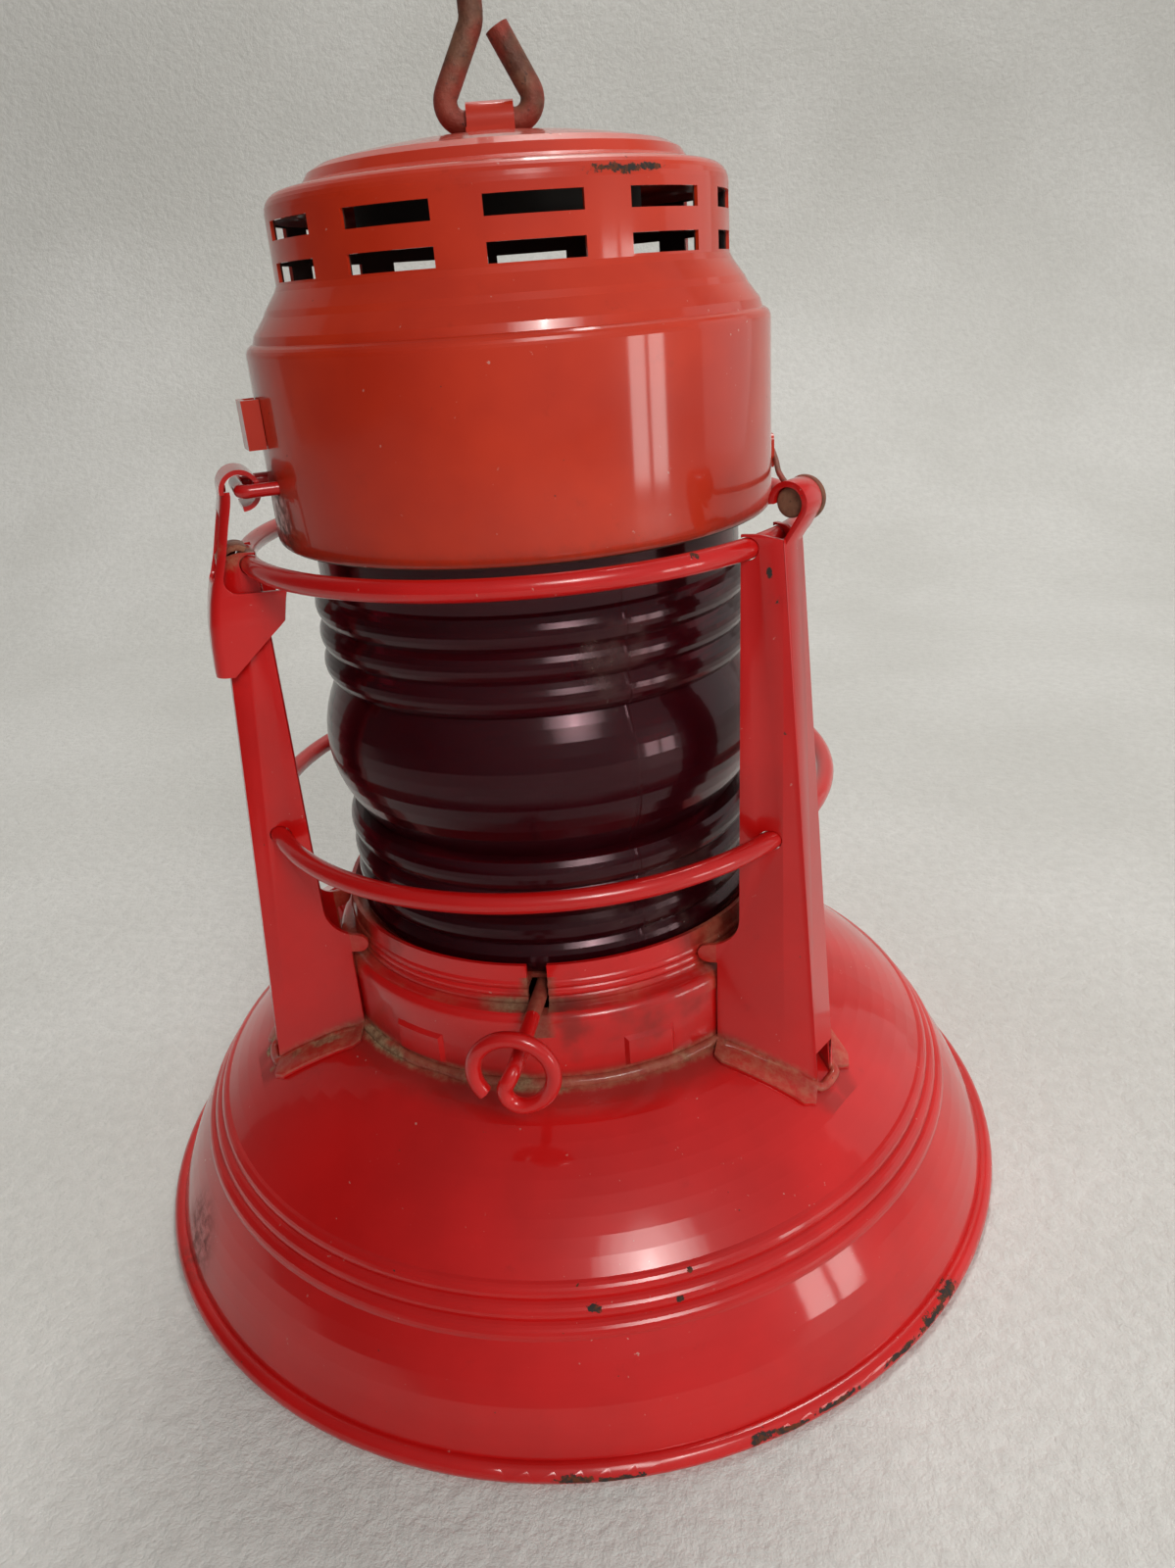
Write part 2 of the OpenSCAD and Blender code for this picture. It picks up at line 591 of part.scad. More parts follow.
// Canopy profile, from the crown's middle down to the skirt's rolled-in edge
band_top = drum_z + drum_h + shoulder_h + band_h;
band_bottom = band_top - band_h;
crown_z = band_top + crown_h;
edge_r = 3.2;
lip_r = 1.6;
crown_flat = crown_r * 0.94 * 3 / 8;
function crown_at(r) = crown_z - crown_h * 0.34 * pow(max(r, crown_flat) / (crown_r * 0.94), 2);
crown_top = crown_at(0);
crown_pts = concat([[0, crown_top]], [for (i = [3:8]) let (r = crown_r * 0.94 * i / 8) [r, crown_at(r)]],
    [[crown_r, crown_z - crown_h * 0.44], [crown_r + 1.2, crown_z - crown_h * 0.6],
    [crown_r + 3.2, crown_z - crown_h * 0.66]]);
shell_path = concat([for (p = crown_pts) p],
    arc([band_r - edge_r, band_top], edge_r, 80, 0, 6), [[band_r, band_bottom + 1]],
    [[band_r + 0.5, band_bottom], [band_r + 2.6, band_bottom - shoulder_h * 0.36],
    [band_r + 3.2, band_bottom - shoulder_h * 0.5], [drum_r - 1.9, band_bottom - shoulder_h * 0.86]],
    arc([drum_r - 2, drum_z + drum_h - 2.2], 2, 75, 0, 5),
    arc([drum_r - lip_r, drum_z + lip_r], lip_r, 0, -90, 5));
row_low = band_bottom + 1.4;
module staple_holes(g) rotate([0, 0, latch_az]) for (s = [-1, 1])
    translate([drum_r - staple_out, s * staple_w / 2, staple_z]) rotate([0, 90, 0])
        cylinder(r = staple_r + g, h = 2 * staple_out);
module slot_row(z) for (i = [0:slot_n - 1]) rotate([0, 0, slot_start + i * 360 / slot_n - slot_arc / 2])
    rotate_extrude(angle = slot_arc) translate([band_r - 4, z]) square([8, slot_h]);
module canopy_shell() color(orange_red) difference() {
    lathe(sheet(shell_path, sheet_t));
    slot_row(row_low);
    slot_row(row_low + slot_step);
    staple_holes(0.15);
}

module draft_baffle() color(steel) let (top = crown_at(baffle_r) - sheet_t - 0.4)
    ring_part(baffle_r - sheet_t, baffle_r, top - baffle_h, top);

// Pierced ring in the canopy that holds the globe's top
holder_z = globe_top + 0.35;
holder_r = drum_r - sheet_t - 0.15;
module globe_holder() color(steel) difference() {
    union() {
        ring_part(holder_r - sheet_t, holder_r, holder_z - 1, staple_z + 0.3);
        ring_part(groove_r - holder_w, holder_r - sheet_t / 2, holder_z, holder_z + sheet_t);
        ring_part(groove_r + 0.3, groove_r + 0.3 + sheet_t, holder_z - holder_w / 5, holder_z + sheet_t);
        ring_part(groove_r - holder_w, groove_r - holder_w + sheet_t, holder_z, holder_z + holder_w / 4);
    }
    for (i = [0:11]) rotate([0, 0, i * 30]) translate([groove_r - holder_w / 2 - 0.5, 0, holder_z - 1])
        cylinder(r = holder_w * 0.18, h = 4);
    staple_holes(0.5);
}

// Knuckle on the pin, and an arm that runs back along the skirt to a riveted leaf
leaf_in = drum_r + 0.1;
leaf_out = leaf_in + post_t;
leaf_z = pin_z + curl_in - 3.5;
leaf_a0 = leaf_turn - leaf_arc / 2;
leaf_a1 = leaf_turn + leaf_arc / 2;
leaf_rivet_z = leaf_z + leaf_h - 3.5;
arm_pts = [[pin_u, knuckle_w0], [pin_u - 3, knuckle_w0], (leaf_in + 0.3) * [cos(leaf_a0), sin(leaf_a0)],
    (leaf_in + 0.3) * [cos(leaf_a1), sin(leaf_a1)], (leaf_out + 1.6) * [cos(leaf_a1 - 4), sin(leaf_a1 - 4)],
    [pin_u + 1.5, knuckle_w1], [pin_u, knuckle_w1]];
module circle_at(c, r) translate(c) circle(r);
module hinge_leaf() color(orange_red) rotate([0, 0, hinge_az]) difference() {
    union() {
        rotate([0, 0, leaf_a0]) rotate_extrude(angle = leaf_arc) translate([leaf_in, leaf_z])
            square([post_t, leaf_h]);
        slab(0, knuckle_w0, knuckle_w1) difference() {
            circle_at(pin_c, curl_out);
            circle_at(pin_c, curl_in);
        }
        translate([0, 0, pin_z + curl_in]) linear_extrude(height = post_t) polygon(arm_pts);
    }
    cylinder(r = leaf_in, h = 400);
    for (s = [-1, 1]) rivet_place(s) cylinder(r = 1.2, h = 12, center = true);
}
module rivet_place(s) rotate([0, 0, leaf_turn + s * 2.8]) translate([leaf_out, 0, leaf_rivet_z]) rotate([0, 90, 0])
    children();
module leaf_rivets() color(orange_red) rotate([0, 0, hinge_az]) for (s = [-1, 1]) rivet_place(s) {
    translate([0, 0, -post_t]) cylinder(r = 1.1, h = post_t + 0.2);
    translate([0, 0, 0.15]) cylinder(r1 = 2.1, r2 = 1.5, h = 0.9);
}

// Wire staple through the skirt: two legs and a bar that the hasp hooks on
staple_bend = 1.6;
leg_in = drum_r - sheet_t - 1.6;
module latch_staple() color(red) rotate([0, 0, latch_az]) union() {
    for (s = [-1, 1]) translate([leg_in, s * staple_w / 2, staple_z]) rotate([0, 90, 0])
        wire(staple_r, staple_u - staple_bend - leg_in);
    translate([staple_u - staple_bend, -staple_w / 2 + staple_bend, staple_z]) rotate([0, 0, -90])
        bend(staple_r, staple_bend, 90);
    translate([staple_u - staple_bend, staple_w / 2 - staple_bend, staple_z]) bend(staple_r, staple_bend, 90);
    translate([staple_u, staple_w / 2 - staple_bend, staple_z]) rotate([90, 0, 0])
        wire(staple_r, staple_w - 2 * staple_bend);
}

// Bridge of sheet that stands on the skirt above the staple
module side_lug() color(orange_red) rotate([0, 0, latch_az + 3]) difference() {
    translate([drum_r - 2, -lug_w / 2, staple_z + 6.6]) cube([2 + lug_out, lug_w, lug_h]);
    translate([drum_r - 3, -lug_w / 2 + sheet_t, 0]) cube([3 + lug_out - sheet_t, lug_w - 2 * sheet_t, 400]);
    cylinder(r = drum_r + 0.1, h = 400);
}

// Saddle strap on the flat middle of the crown, bridging the hanger's bar
bar_z = crown_top + bar_up;
arch_in = hanger_r + strap_gap;
arch_out = arch_in + sheet_t;
foot_l = 9.5;
strap_z = crown_top + 0.1;
module hanger_strap() color(orange_red) rotate([0, 0, hanger_az]) translate([-strap_w / 2, 0, 0])
    rotate([90, 0, 90]) linear_extrude(height = strap_w) difference() {
        union() {
            translate([0, bar_z]) circle(arch_out);
            translate([-arch_out, strap_z]) square([2 * arch_out, bar_z - strap_z]);
            translate([-foot_l, strap_z]) square([2 * foot_l, sheet_t]);
        }
        translate([0, bar_z]) circle(arch_in);
        translate([-arch_in, strap_z - 2]) square([2 * arch_in, bar_z - strap_z + 2]);
        translate([-arch_out, strap_z - 5]) square([2 * arch_out, 5]);
    }

// Hasp: curl on the staple, two straps beside the opening, and a folded plate over the post
hasp_top = staple_z - 17;
slot_end = 4;
hasp_t = 0.9;
hasp_u0 = web_u(hasp_top) + hasp_gap + hasp_t;
hasp_u1 = web_u(hasp_z) + hasp_tip_gap + hasp_t;
hasp_m = (hasp_u1 - hasp_u0) / (hasp_top - hasp_z);
bar_c = [staple_u, staple_z];
hasp_in = staple_r + run_gap;
strap_u = bar_c.x + hasp_in;
hasp_wing = 4.8;
hasp_o = [hasp_u0, hasp_top];
wing_drop = 8;
hasp_pts = [[hasp_u1, hasp_z], hasp_o, [hasp_u0 - hasp_wing, hasp_top - 1],
    [hasp_u0 - hasp_wing, hasp_top - wing_drop], [hasp_u1 - 1.8, hasp_z + 1.4], [hasp_u1 - 1, hasp_z]];
module hasp_wing_plate() plate(hasp_pts, hasp_o, hasp_w / 2, hasp_m, hasp_t);
module latch_hasp() color(red) rotate([0, 0, latch_az]) {
    difference() {
        slab(0, -hasp_w / 2, hasp_w / 2) {
            polygon(concat(arc(bar_c, hasp_in + hasp_t, -40, 290, 26), arc(bar_c, hasp_in, 290, -40, 26)));
            polygon([[strap_u, staple_z], [strap_u + hasp_t, staple_z], hasp_o, [hasp_u0 - hasp_t, hasp_top]]);
            polygon([hasp_o, [hasp_u1, hasp_z], [hasp_u1 - hasp_t, hasp_z], [hasp_u0 - hasp_t, hasp_top]]);
        }
        // Opening between the straps, over the post's ear
        translate([strap_u - 1, 0, hasp_top + hasp_open / 2]) {
            rotate([0, 90, 0]) cylinder(r = hasp_open / 2, h = hasp_l);
            translate([0, -hasp_open / 2, 0])
                cube([hasp_l, hasp_open, staple_z - hasp_top - hasp_open / 2 - slot_end]);
        }
    }
    hasp_wing_plate();
    mirror([0, 1, 0]) hasp_wing_plate();
}

// Hanger of one wire: bar, eye, stem and an open hook
lean_r = 5;
corner = [bar_half + eye_r * cos(eye_lean), eye_r + eye_r * sin(eye_lean)];
leg_l = (corner.x - stem_off - lean_r * (1 - cos(eye_lean))) / sin(eye_lean);
stem_z = corner.y + leg_l * cos(eye_lean) + lean_r * sin(eye_lean);
hook_turn = 235;
module hanger_wire() color(rust) translate([0, 0, bar_z]) rotate([0, 0, hanger_az]) rotate([90, 0, 0]) union() {
    translate([-bar_half, 0, 0]) rotate([0, 90, 0]) wire(hanger_r, 2 * bar_half);
    translate([bar_half, eye_r, 0]) rotate([0, 0, -90]) joined_bend(hanger_r, eye_r, 90 + eye_lean);
    translate([-bar_half, eye_r, 0]) rotate([0, 0, 180 - eye_lean])
        joined_bend(hanger_r, eye_r, 90 + eye_lean);
    translate([corner.x, corner.y, 0]) rotate([0, 0, eye_lean]) rotate([-90, 0, 0]) wire(hanger_r, leg_l);
    translate([-corner.x, corner.y, 0]) rotate([0, 0, -eye_lean]) rotate([-90, 0, 0]) wire(hanger_r, leg_l);
    translate([-stem_off - lean_r, stem_z, 0]) rotate([0, 0, -eye_lean]) joined_bend(hanger_r, lean_r, eye_lean);
    translate([-stem_off, stem_z, 0]) rotate([-90, 0, 0]) wire(hanger_r, stem_l);
    translate([-stem_off - hook_r, stem_z + stem_l, 0]) joined_bend(hanger_r, hook_r, hook_turn);
}

// Filler on the dome's shoulder, square to the sheet
neck_r = cap_r - 2;
filler_a = acos((filler_u - dome_c.x) / dome_arc);
filler_tilt = 90 - filler_a;
module filler_axis() rotate([0, 0, filler_az])
    translate([filler_u, 0, dome_c.y + dome_arc * sin(filler_a)]) rotate([0, filler_tilt, 0]) children();
neck_h = 6;
module filler_neck() color(red) filler_axis() difference() {
    union() {
        translate([0, 0, -3]) cylinder(r = neck_r - sheet_t, h = neck_h + 3);
        translate([0, 0, 1.1]) cylinder(r = neck_r, h = neck_h - 1.1);
    }
    translate([0, 0, -4]) cylinder(r = neck_r - 2 * sheet_t, h = neck_h + 6);
}
module filler_gasket() color([0.35, 0.24, 0.16]) filler_axis() translate([0, 0, neck_h + 0.3])
    cylinder(r = neck_r, h = 1.2);
module filler_cap() color(red) filler_axis() difference() {
    translate([0, 0, cap_z]) cylinder(r = cap_r, h = cap_h);
    translate([0, 0, cap_z - 1]) cylinder(r = neck_r + 0.4, h = neck_h + 2.8 - cap_z);
    for (i = [0:23]) rotate([0, 0, i * 15]) translate([cap_r + 0.25, 0, cap_z - 1]) cylinder(r = 0.7, h = cap_h - 0.6);
}
cap_z = 1.6;

fount_dome();
fount_bottom();
fount_collar();
filler_neck();
burner_gallery();
burner_body();
wick_tube();
burner_cone();
hinge_post();
latch_post();
rear_post();
upper_guard_ring();
lower_guard_ring();
globe();
hinge_pin();
wick();
wick_winder();
wick_wheels();
filler_gasket();
filler_cap();
canopy_shell();
draft_baffle();
globe_holder();
hinge_leaf();
leaf_rivets();
latch_staple();
side_lug();
hanger_strap();
latch_hasp();
hanger_wire();
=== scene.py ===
# %% [markdown]
# # An old kerosene warning lantern
# The shapes of the lantern come from its construction model, which is loaded first and never moved.
# This lesson adds what a construction model leaves out: paint with chips, dirt in the seams, ruby glass,
# rust, and a few pieces that look better when they are modelled by hand.

# %% Load the frame
import math
import bpy
from mathutils import Matrix, Vector


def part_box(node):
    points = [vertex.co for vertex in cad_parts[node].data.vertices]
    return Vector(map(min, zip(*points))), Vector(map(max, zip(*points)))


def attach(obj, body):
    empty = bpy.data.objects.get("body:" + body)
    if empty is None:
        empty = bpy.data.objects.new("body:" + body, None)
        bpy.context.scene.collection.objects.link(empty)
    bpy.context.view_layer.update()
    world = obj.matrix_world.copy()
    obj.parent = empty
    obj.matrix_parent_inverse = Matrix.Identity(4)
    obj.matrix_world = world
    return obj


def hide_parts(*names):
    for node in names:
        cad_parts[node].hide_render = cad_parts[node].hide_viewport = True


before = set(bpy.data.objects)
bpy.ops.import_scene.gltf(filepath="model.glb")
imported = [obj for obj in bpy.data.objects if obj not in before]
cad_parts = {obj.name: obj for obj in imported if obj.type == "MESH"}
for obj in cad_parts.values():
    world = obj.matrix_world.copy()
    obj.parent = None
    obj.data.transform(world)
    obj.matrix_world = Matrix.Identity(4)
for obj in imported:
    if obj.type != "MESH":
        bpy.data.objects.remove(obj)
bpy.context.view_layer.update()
MM = 0.001

# %% [markdown]
# ## Camera
# The picture is taken from close by with a wide lens, so the foot looks much larger than the canopy.
# Distance, height and tilt decide that look. The camera is therefore set by numbers, not by eye.

# %% Camera
CAM_BACK, CAM_HEIGHT = 0.230191, 0.193903
CAM_DOWN, CAM_ROLL, CAM_YAW, CAM_ROUND = 0.4204, 0.0765, -0.0353, math.radians(13)
SENSOR = 36.0
FOCAL_PER_WIDTH = 1143.594 / 1199


def make_camera():
    look = Vector((-math.sin(CAM_YAW) * math.cos(CAM_DOWN), math.cos(CAM_YAW) * math.cos(CAM_DOWN),
                   -math.sin(CAM_DOWN)))
    right = Vector((math.cos(CAM_YAW), math.sin(CAM_YAW), 0))
    up = right.cross(look)
    x_axis = math.cos(CAM_ROLL) * right - math.sin(CAM_ROLL) * up
    y_axis = math.sin(CAM_ROLL) * right + math.cos(CAM_ROLL) * up
    place = Matrix((x_axis, y_axis, -look)).transposed().to_4x4()
    place.translation = Vector((0, -CAM_BACK, CAM_HEIGHT))
    lens = bpy.data.cameras.new("lantern_view")
    lens.sensor_fit = "HORIZONTAL"
    lens.sensor_width = SENSOR
    lens.lens = SENSOR * FOCAL_PER_WIDTH
    lens.clip_start = 0.01
    camera = bpy.data.objects.new("lantern_view", lens)
    bpy.context.scene.collection.objects.link(camera)
    camera.matrix_world = Matrix.Rotation(CAM_ROUND, 4, "Z") @ place
    bpy.context.scene.camera = camera
    return camera


camera = make_camera()
print("camera at", [round(c, 3) for c in camera.matrix_world.translation], "m")
print("lens", round(camera.data.lens, 2), "mm")

# %% [markdown]
# ## Shader maths in plain Python
# A material is a net of nodes. Written node by node, even a small sum is hard to read. One small class
# wraps an output socket, so that sums and comparisons between values add the Math nodes, and one method
# adds any other node with its settings and inputs.

# %% Value and Net
class Value:
    def __init__(self, net, socket):
        self.net, self.socket = net, socket

    def math(self, operation, *others):
        inputs = dict(enumerate([self, *others]))
        return self.net.node("ShaderNodeMath", {"operation": operation}, inputs)

    def flipped(self, operation, first):
        return self.net.node("ShaderNodeMath", {"operation": operation}, {0: first, 1: self})

    def __add__(self, other): return self.math("ADD", other)
    def __sub__(self, other): return self.math("SUBTRACT", other)
    def __mul__(self, other): return self.math("MULTIPLY", other)
    def __pow__(self, other): return self.math("POWER", other)
    def __radd__(self, other): return self.flipped("ADD", other)
    def __rsub__(self, other): return self.flipped("SUBTRACT", other)
    def __rmul__(self, other): return self.flipped("MULTIPLY", other)
    def __abs__(self): return self.math("ABSOLUTE")
    def __gt__(self, other): return self.math("GREATER_THAN", other)
    def __lt__(self, other): return self.math("LESS_THAN", other)

    def least(self, other): return self.math("MINIMUM", other)
    def most(self, other): return self.math("MAXIMUM", other)

    def ramp(self, low, high):
        """0 below low, 1 above high and smooth between; low may be the larger one."""
        a, b, out_a, out_b = (low, high, 0.0, 1.0) if low < high else (high, low, 1.0, 0.0)
        return self.net.node("ShaderNodeMapRange", {"interpolation_type": "SMOOTHSTEP"},
                             {0: self, 1: a, 2: b, 3: out_a, 4: out_b})


class Net:
    def __init__(self, name):
        self.material = bpy.data.materials.new(name)
        self.material.use_nodes = True
        self.tree = self.material.node_tree
        self.tree.nodes.clear()
        self.out = self.tree.nodes.new("ShaderNodeOutputMaterial")
        self.place = self.node("ShaderNodeTexCoord", out="Object")

    def node(self, kind, settings=None, inputs=None, out=0):
        made = self.tree.nodes.new(kind)
        for key, value in (settings or {}).items():
            setattr(made, key, value)
        for key, value in (inputs or {}).items():
            if isinstance(value, Value):
                self.tree.links.new(value.socket, made.inputs[key])
            else:
                made.inputs[key].default_value = value
        return Value(self, made.outputs[out])

    def noise(self, scale, detail=3.0, rough=0.5, shift=(0, 0, 0)):
        place = self.vector("ADD", self.place, shift) if any(shift) else self.place
        return self.node("ShaderNodeTexNoise", None, {"Vector": place, "Scale": scale, "Detail": detail,
                                                      "Roughness": rough})

    def vector(self, operation, *inputs, out=0):
        return self.node("ShaderNodeVectorMath", {"operation": operation}, dict(enumerate(inputs)), out)

    def mix(self, factor, first, second):
        """A colour between first and second."""
        rgba = [(*c, 1.0) if isinstance(c, tuple) and len(c) == 3 else c for c in (first, second)]
        return self.node("ShaderNodeMix", {"data_type": "RGBA"}, {0: factor, 6: rgba[0], 7: rgba[1]}, 2)

    def axes(self):
        parts = self.tree.nodes.new("ShaderNodeSeparateXYZ")
        self.tree.links.new(self.place.socket, parts.inputs[0])
        return [Value(self, parts.outputs[i]) for i in range(3)]

    def bump(self, height, strength, distance):
        return self.node("ShaderNodeBump", None,
                         {"Height": height, "Strength": strength, "Distance": distance})

    def surface(self, shader):
        self.tree.links.new(shader.socket, self.out.inputs["Surface"])
        return self.material

    def principled(self, **inputs):
        named = {}
        for key, value in inputs.items():
            if isinstance(value, tuple) and len(value) == 3:
                value = (*value, 1.0)
            named[key.replace("_", " ").title().replace("Ior", "IOR")] = value
        return self.node("ShaderNodeBsdfPrincipled", None, named)


print("shader helpers ready")

# %% [markdown]
# ## Where dirt gathers
# Old soldering flux, soot and dust stay in the corners that a cloth does not reach: round the collar, at
# the feet of the posts, and at the latch post's ear. Each corner is a simple distance in the lantern's own
# coordinates, so the dirt follows the metal and nothing has to be painted by hand.

# %% Distances on the lantern
DOME_U, DOME_Z, DOME_ARC = 28.113 * MM, -21.6212 * MM, 75.0 * MM
COLLAR_R = 51.0 * MM
SHAFT_X = 4.55 * MM
POST_TURN = math.radians(120)
FLANGE_SLOPE = math.tan(math.radians(24))
WEB_HALF, WEB_AT_FOOT = 3.2 * MM, 69.4 * MM


def radius(x, y):
    return (x * x + y * y) ** 0.5


def height_over_dome(r, z):
    """How far a point lies above the dome's arc."""
    inside = (DOME_ARC * DOME_ARC - (r - DOME_U) * (r - DOME_U)).most(0.0)
    return z - DOME_Z - inside ** 0.5


def post_frame(x, y):
    """Distance along and beside the nearest post's middle plane; the posts stand every 120 degrees."""
    angle = y.math("ARCTAN2", x) + math.radians(30)
    folded = angle.math("PINGPONG", POST_TURN / 2)
    r = radius(x, y)
    return r * folded.math("COSINE"), r * folded.math("SINE")


print("collar radius", COLLAR_R, "posts every", math.degrees(POST_TURN), "degrees")

# %% [markdown]
# ## Red paint
# The lantern was dipped in gloss enamel: bright where it was wiped, duller where dust stuck to it, and
# chipped down to dark steel where it was knocked. The canopy's batch is more orange. One function makes
# both, and takes the places of the chips, because chips sit where the real ones do and not at random. Only
# the finest pits and specks are left to noise.

# %% Paint
DARK_STEEL = (0.035, 0.028, 0.025)
RUST = (0.12, 0.035, 0.015)
FLUX = (0.36, 0.25, 0.14)
FLUX_BROWN = (0.15, 0.075, 0.04)
SOOT_AND_SHADE = (0.05, 0.025, 0.018)
DUST = (0.55, 0.42, 0.36)


def chips(net, spots, edge):
    """1 in the chips: each spot is (x, y, z, reach along x, y, z) in millimetres, frayed by noise."""
    total = None
    for x, y, z, rx, ry, rz in spots:
        off = net.vector("SUBTRACT", net.place, (x * MM, y * MM, z * MM))
        near = net.vector("DIVIDE", off, (rx * MM, ry * MM, rz * MM))
        reach = net.vector("LENGTH", near, out=1)
        total = reach if total is None else total.least(reach)
    frayed = total + (edge - 0.5) * 4.2
    return frayed.ramp(0.9, 0.8)


def paint(name, colour, darker, spots, dirt_and_shade):
    net = Net(name)
    x, y, z = net.axes()
    clouds = net.noise(28, 4, 0.55)
    fine = net.noise(700, 3, 0.6)
    edge = net.noise(420, 6, 0.75)
    base = net.mix(clouds.ramp(0.35, 0.7), darker, colour)
    shade = net.noise(150, 6, 0.7).ramp(0.60, 0.78) * 0.3
    base = net.mix(shade, base, tuple(c * 0.40 for c in colour))
    worn = chips(net, spots, edge)
    specked_places = net.noise(60, 2, 0.5, (5, 5, 5)).ramp(0.45, 0.6)
    specks = net.noise(900, 2, 0.5, (3, 1, 2)).ramp(0.73, 0.77) * specked_places
    pits = net.noise(560, 2, 0.5, (7, 2, 4)).ramp(0.775, 0.79)
    grime_and_shade = dirt_and_shade(net, x, y, z, edge)
    # the soot mask also carries painted shade: part of the foot's left smudge and of the canopy's black
    # inside
    base = net.mix(grime_and_shade["soot"], base, SOOT_AND_SHADE)
    base = net.mix(grime_and_shade["flux"], base, net.mix(edge.ramp(0.35, 0.65), FLUX, FLUX_BROWN))
    base = net.mix(specks * 0.5, base, DUST)
    bare = worn.most(pits)
    base = net.mix(bare, base, net.mix(fine.ramp(0.45, 0.6), DARK_STEEL, RUST))
    dull = grime_and_shade["soot"].most(grime_and_shade["flux"]).most(bare).least(1.0)
    rough = (0.30 + clouds * 0.14) * (1 - dull) + dull * 0.8
    relief = fine * 0.05 + clouds * 0.45 - bare * 1.3 + grime_and_shade["flux"] * edge * 1.8
    gloss = (1 - dull) * (1 - specks * 0.7) * 0.85
    shader = net.principled(base_color=base, roughness=rough, coat_weight=gloss, coat_roughness=0.08,
                            coat_ior=1.45, specular_ior_level=0.22, normal=net.bump(relief, 0.35, 0.0004))
    net.surface(shader)
    return net.material


# %% [markdown]
# The body's dirt: flux round the collar and the posts' feet, soot in the gap under the gallery, and a
# brown smudge on the left of the foot that is partly dirt and partly painted shade for its dark left side.
# The canopy has a scraped, sooty place behind the latch. Its inside is black, partly soot and partly
# painted shade, and it is darker at its lower edge.

# %% Dirt and painted shade on body and canopy
SMUDGE_AND_SHADE, EAR, SCRAPED = (-74.4, -58.8, 10), (-49.5, -29.0, 153.5), (-40.5, -28.5, 157)


def distance_to(net, spot):
    """Distance of the shaded point from a place in millimetres."""
    return net.vector("LENGTH", net.vector("SUBTRACT", net.place, tuple(c * MM for c in spot)), out=1)


def body_dirt_and_shade(net, x, y, z, edge):
    r = radius(x, y)
    over = height_over_dome(r, z)
    u, w = post_frame(x, y)
    ragged = (edge - 0.5) * 3.2 * MM
    near_collar = (abs(r - COLLAR_R - 0.9 * MM) + ragged * 0.6).ramp(2.0 * MM, 0.5 * MM)
    at_collar = near_collar * abs(over - 0.4 * MM).ramp(2.2 * MM, 0.8 * MM)
    flange = w - (WEB_HALF + FLANGE_SLOPE * (WEB_AT_FOOT - u))
    by_foot = abs(flange - 1.6 * MM) + ragged
    on_dome = abs(over).ramp(2.2 * MM, 0.8 * MM)
    patches = net.noise(75, 3, 0.55, (4, 1, 9)).ramp(0.50, 0.62)
    at_foot = by_foot.ramp(1.9 * MM, 0.7 * MM) * on_dome * (u > 48 * MM) * (u < 72 * MM) * patches
    low_post = (over + ragged).ramp(3.0 * MM, 0.6 * MM) * (over > 0.7 * MM)
    low_post = low_post * (r > 52 * MM) * (r < 73 * MM)
    step = (abs(z - 66.3 * MM) + ragged * 0.5).ramp(1.9 * MM, 0.5 * MM)
    step = step * (r > 45 * MM) * (r < 49.6 * MM)
    beside_shaft = (abs(x - SHAFT_X)).ramp(16 * MM, 4 * MM)
    shaft = (abs(x - SHAFT_X) + ragged * 0.5).ramp(4.2 * MM, 1.6 * MM) * (y < -40 * MM) * (y > -53.5 * MM)
    shaft = shaft * (z > 60.5 * MM) * (z < 72 * MM)
    beside = ((w - 8 * MM).ramp(6 * MM, 0.0)) * (r < 51.5 * MM) * (z > 62 * MM) * (z < 75 * MM)
    # the smudge is partly brown dirt and partly painted shade on the foot's dark left side
    smudge_and_shade = (distance_to(net, SMUDGE_AND_SHADE) + ragged * 2).ramp(13 * MM, 4 * MM)
    on_ear = (distance_to(net, EAR) + ragged).ramp(6.0 * MM, 3.5 * MM)
    flux = (at_collar * (0.35 + patches * 0.65)).most(at_foot).most(low_post * 0.35)
    flux = flux.most(step * patches * (0.15 + beside_shaft * 0.5))
    flux = flux.most(beside * 0.4).most(on_ear * 0.8).most(shaft * (0.25 + patches * 0.5))
    stained = (r < 53 * MM) * (z > 47 * MM) * (z < 78 * MM)
    stained = stained * net.noise(55, 4, 0.6, (8, 8, 1)).ramp(0.48, 0.68)
    soot = (step * (0.2 + beside_shaft * 0.6)).most(smudge_and_shade * edge.ramp(0.35, 0.65) * 0.75)
    soot = soot.most(shaft * 0.6).most(stained * 0.55)
    halo = (abs(r - COLLAR_R - 2 * MM) + ragged).ramp(7 * MM, 1 * MM)
    halo = halo * abs(over).ramp(4 * MM, 1 * MM) * 0.45
    round_foot = (abs(flange - 1 * MM) + ragged).ramp(4.5 * MM, 1 * MM)
    round_foot = round_foot * on_dome * (u < 74 * MM) * 0.35
    return {"flux": flux * 0.9, "soot": soot.most(halo).most(round_foot)}


def canopy_dirt_and_shade(net, x, y, z, edge):
    near = (distance_to(net, SCRAPED) + (edge - 0.5) * 8 * MM).ramp(13 * MM, 5 * MM)
    r = radius(x, y)
    # the black inside is partly soot and partly painted shade, where the canopy's inner surfaces lie in
    # shadow
    inside = ((r < 41.1 * MM) * (z > 190 * MM) * (z < 207.2 * MM)).most((r < 48.5 * MM) * (z < 187 * MM))
    lower = (z + (edge - 0.5) * 6 * MM).ramp(156 * MM, 151 * MM) * 0.45
    soot = (near * edge.ramp(0.35, 0.6) * 0.85).most(inside * 0.97).most(lower)
    no_flux = near * 0.0
    return {"flux": no_flux, "soot": soot}


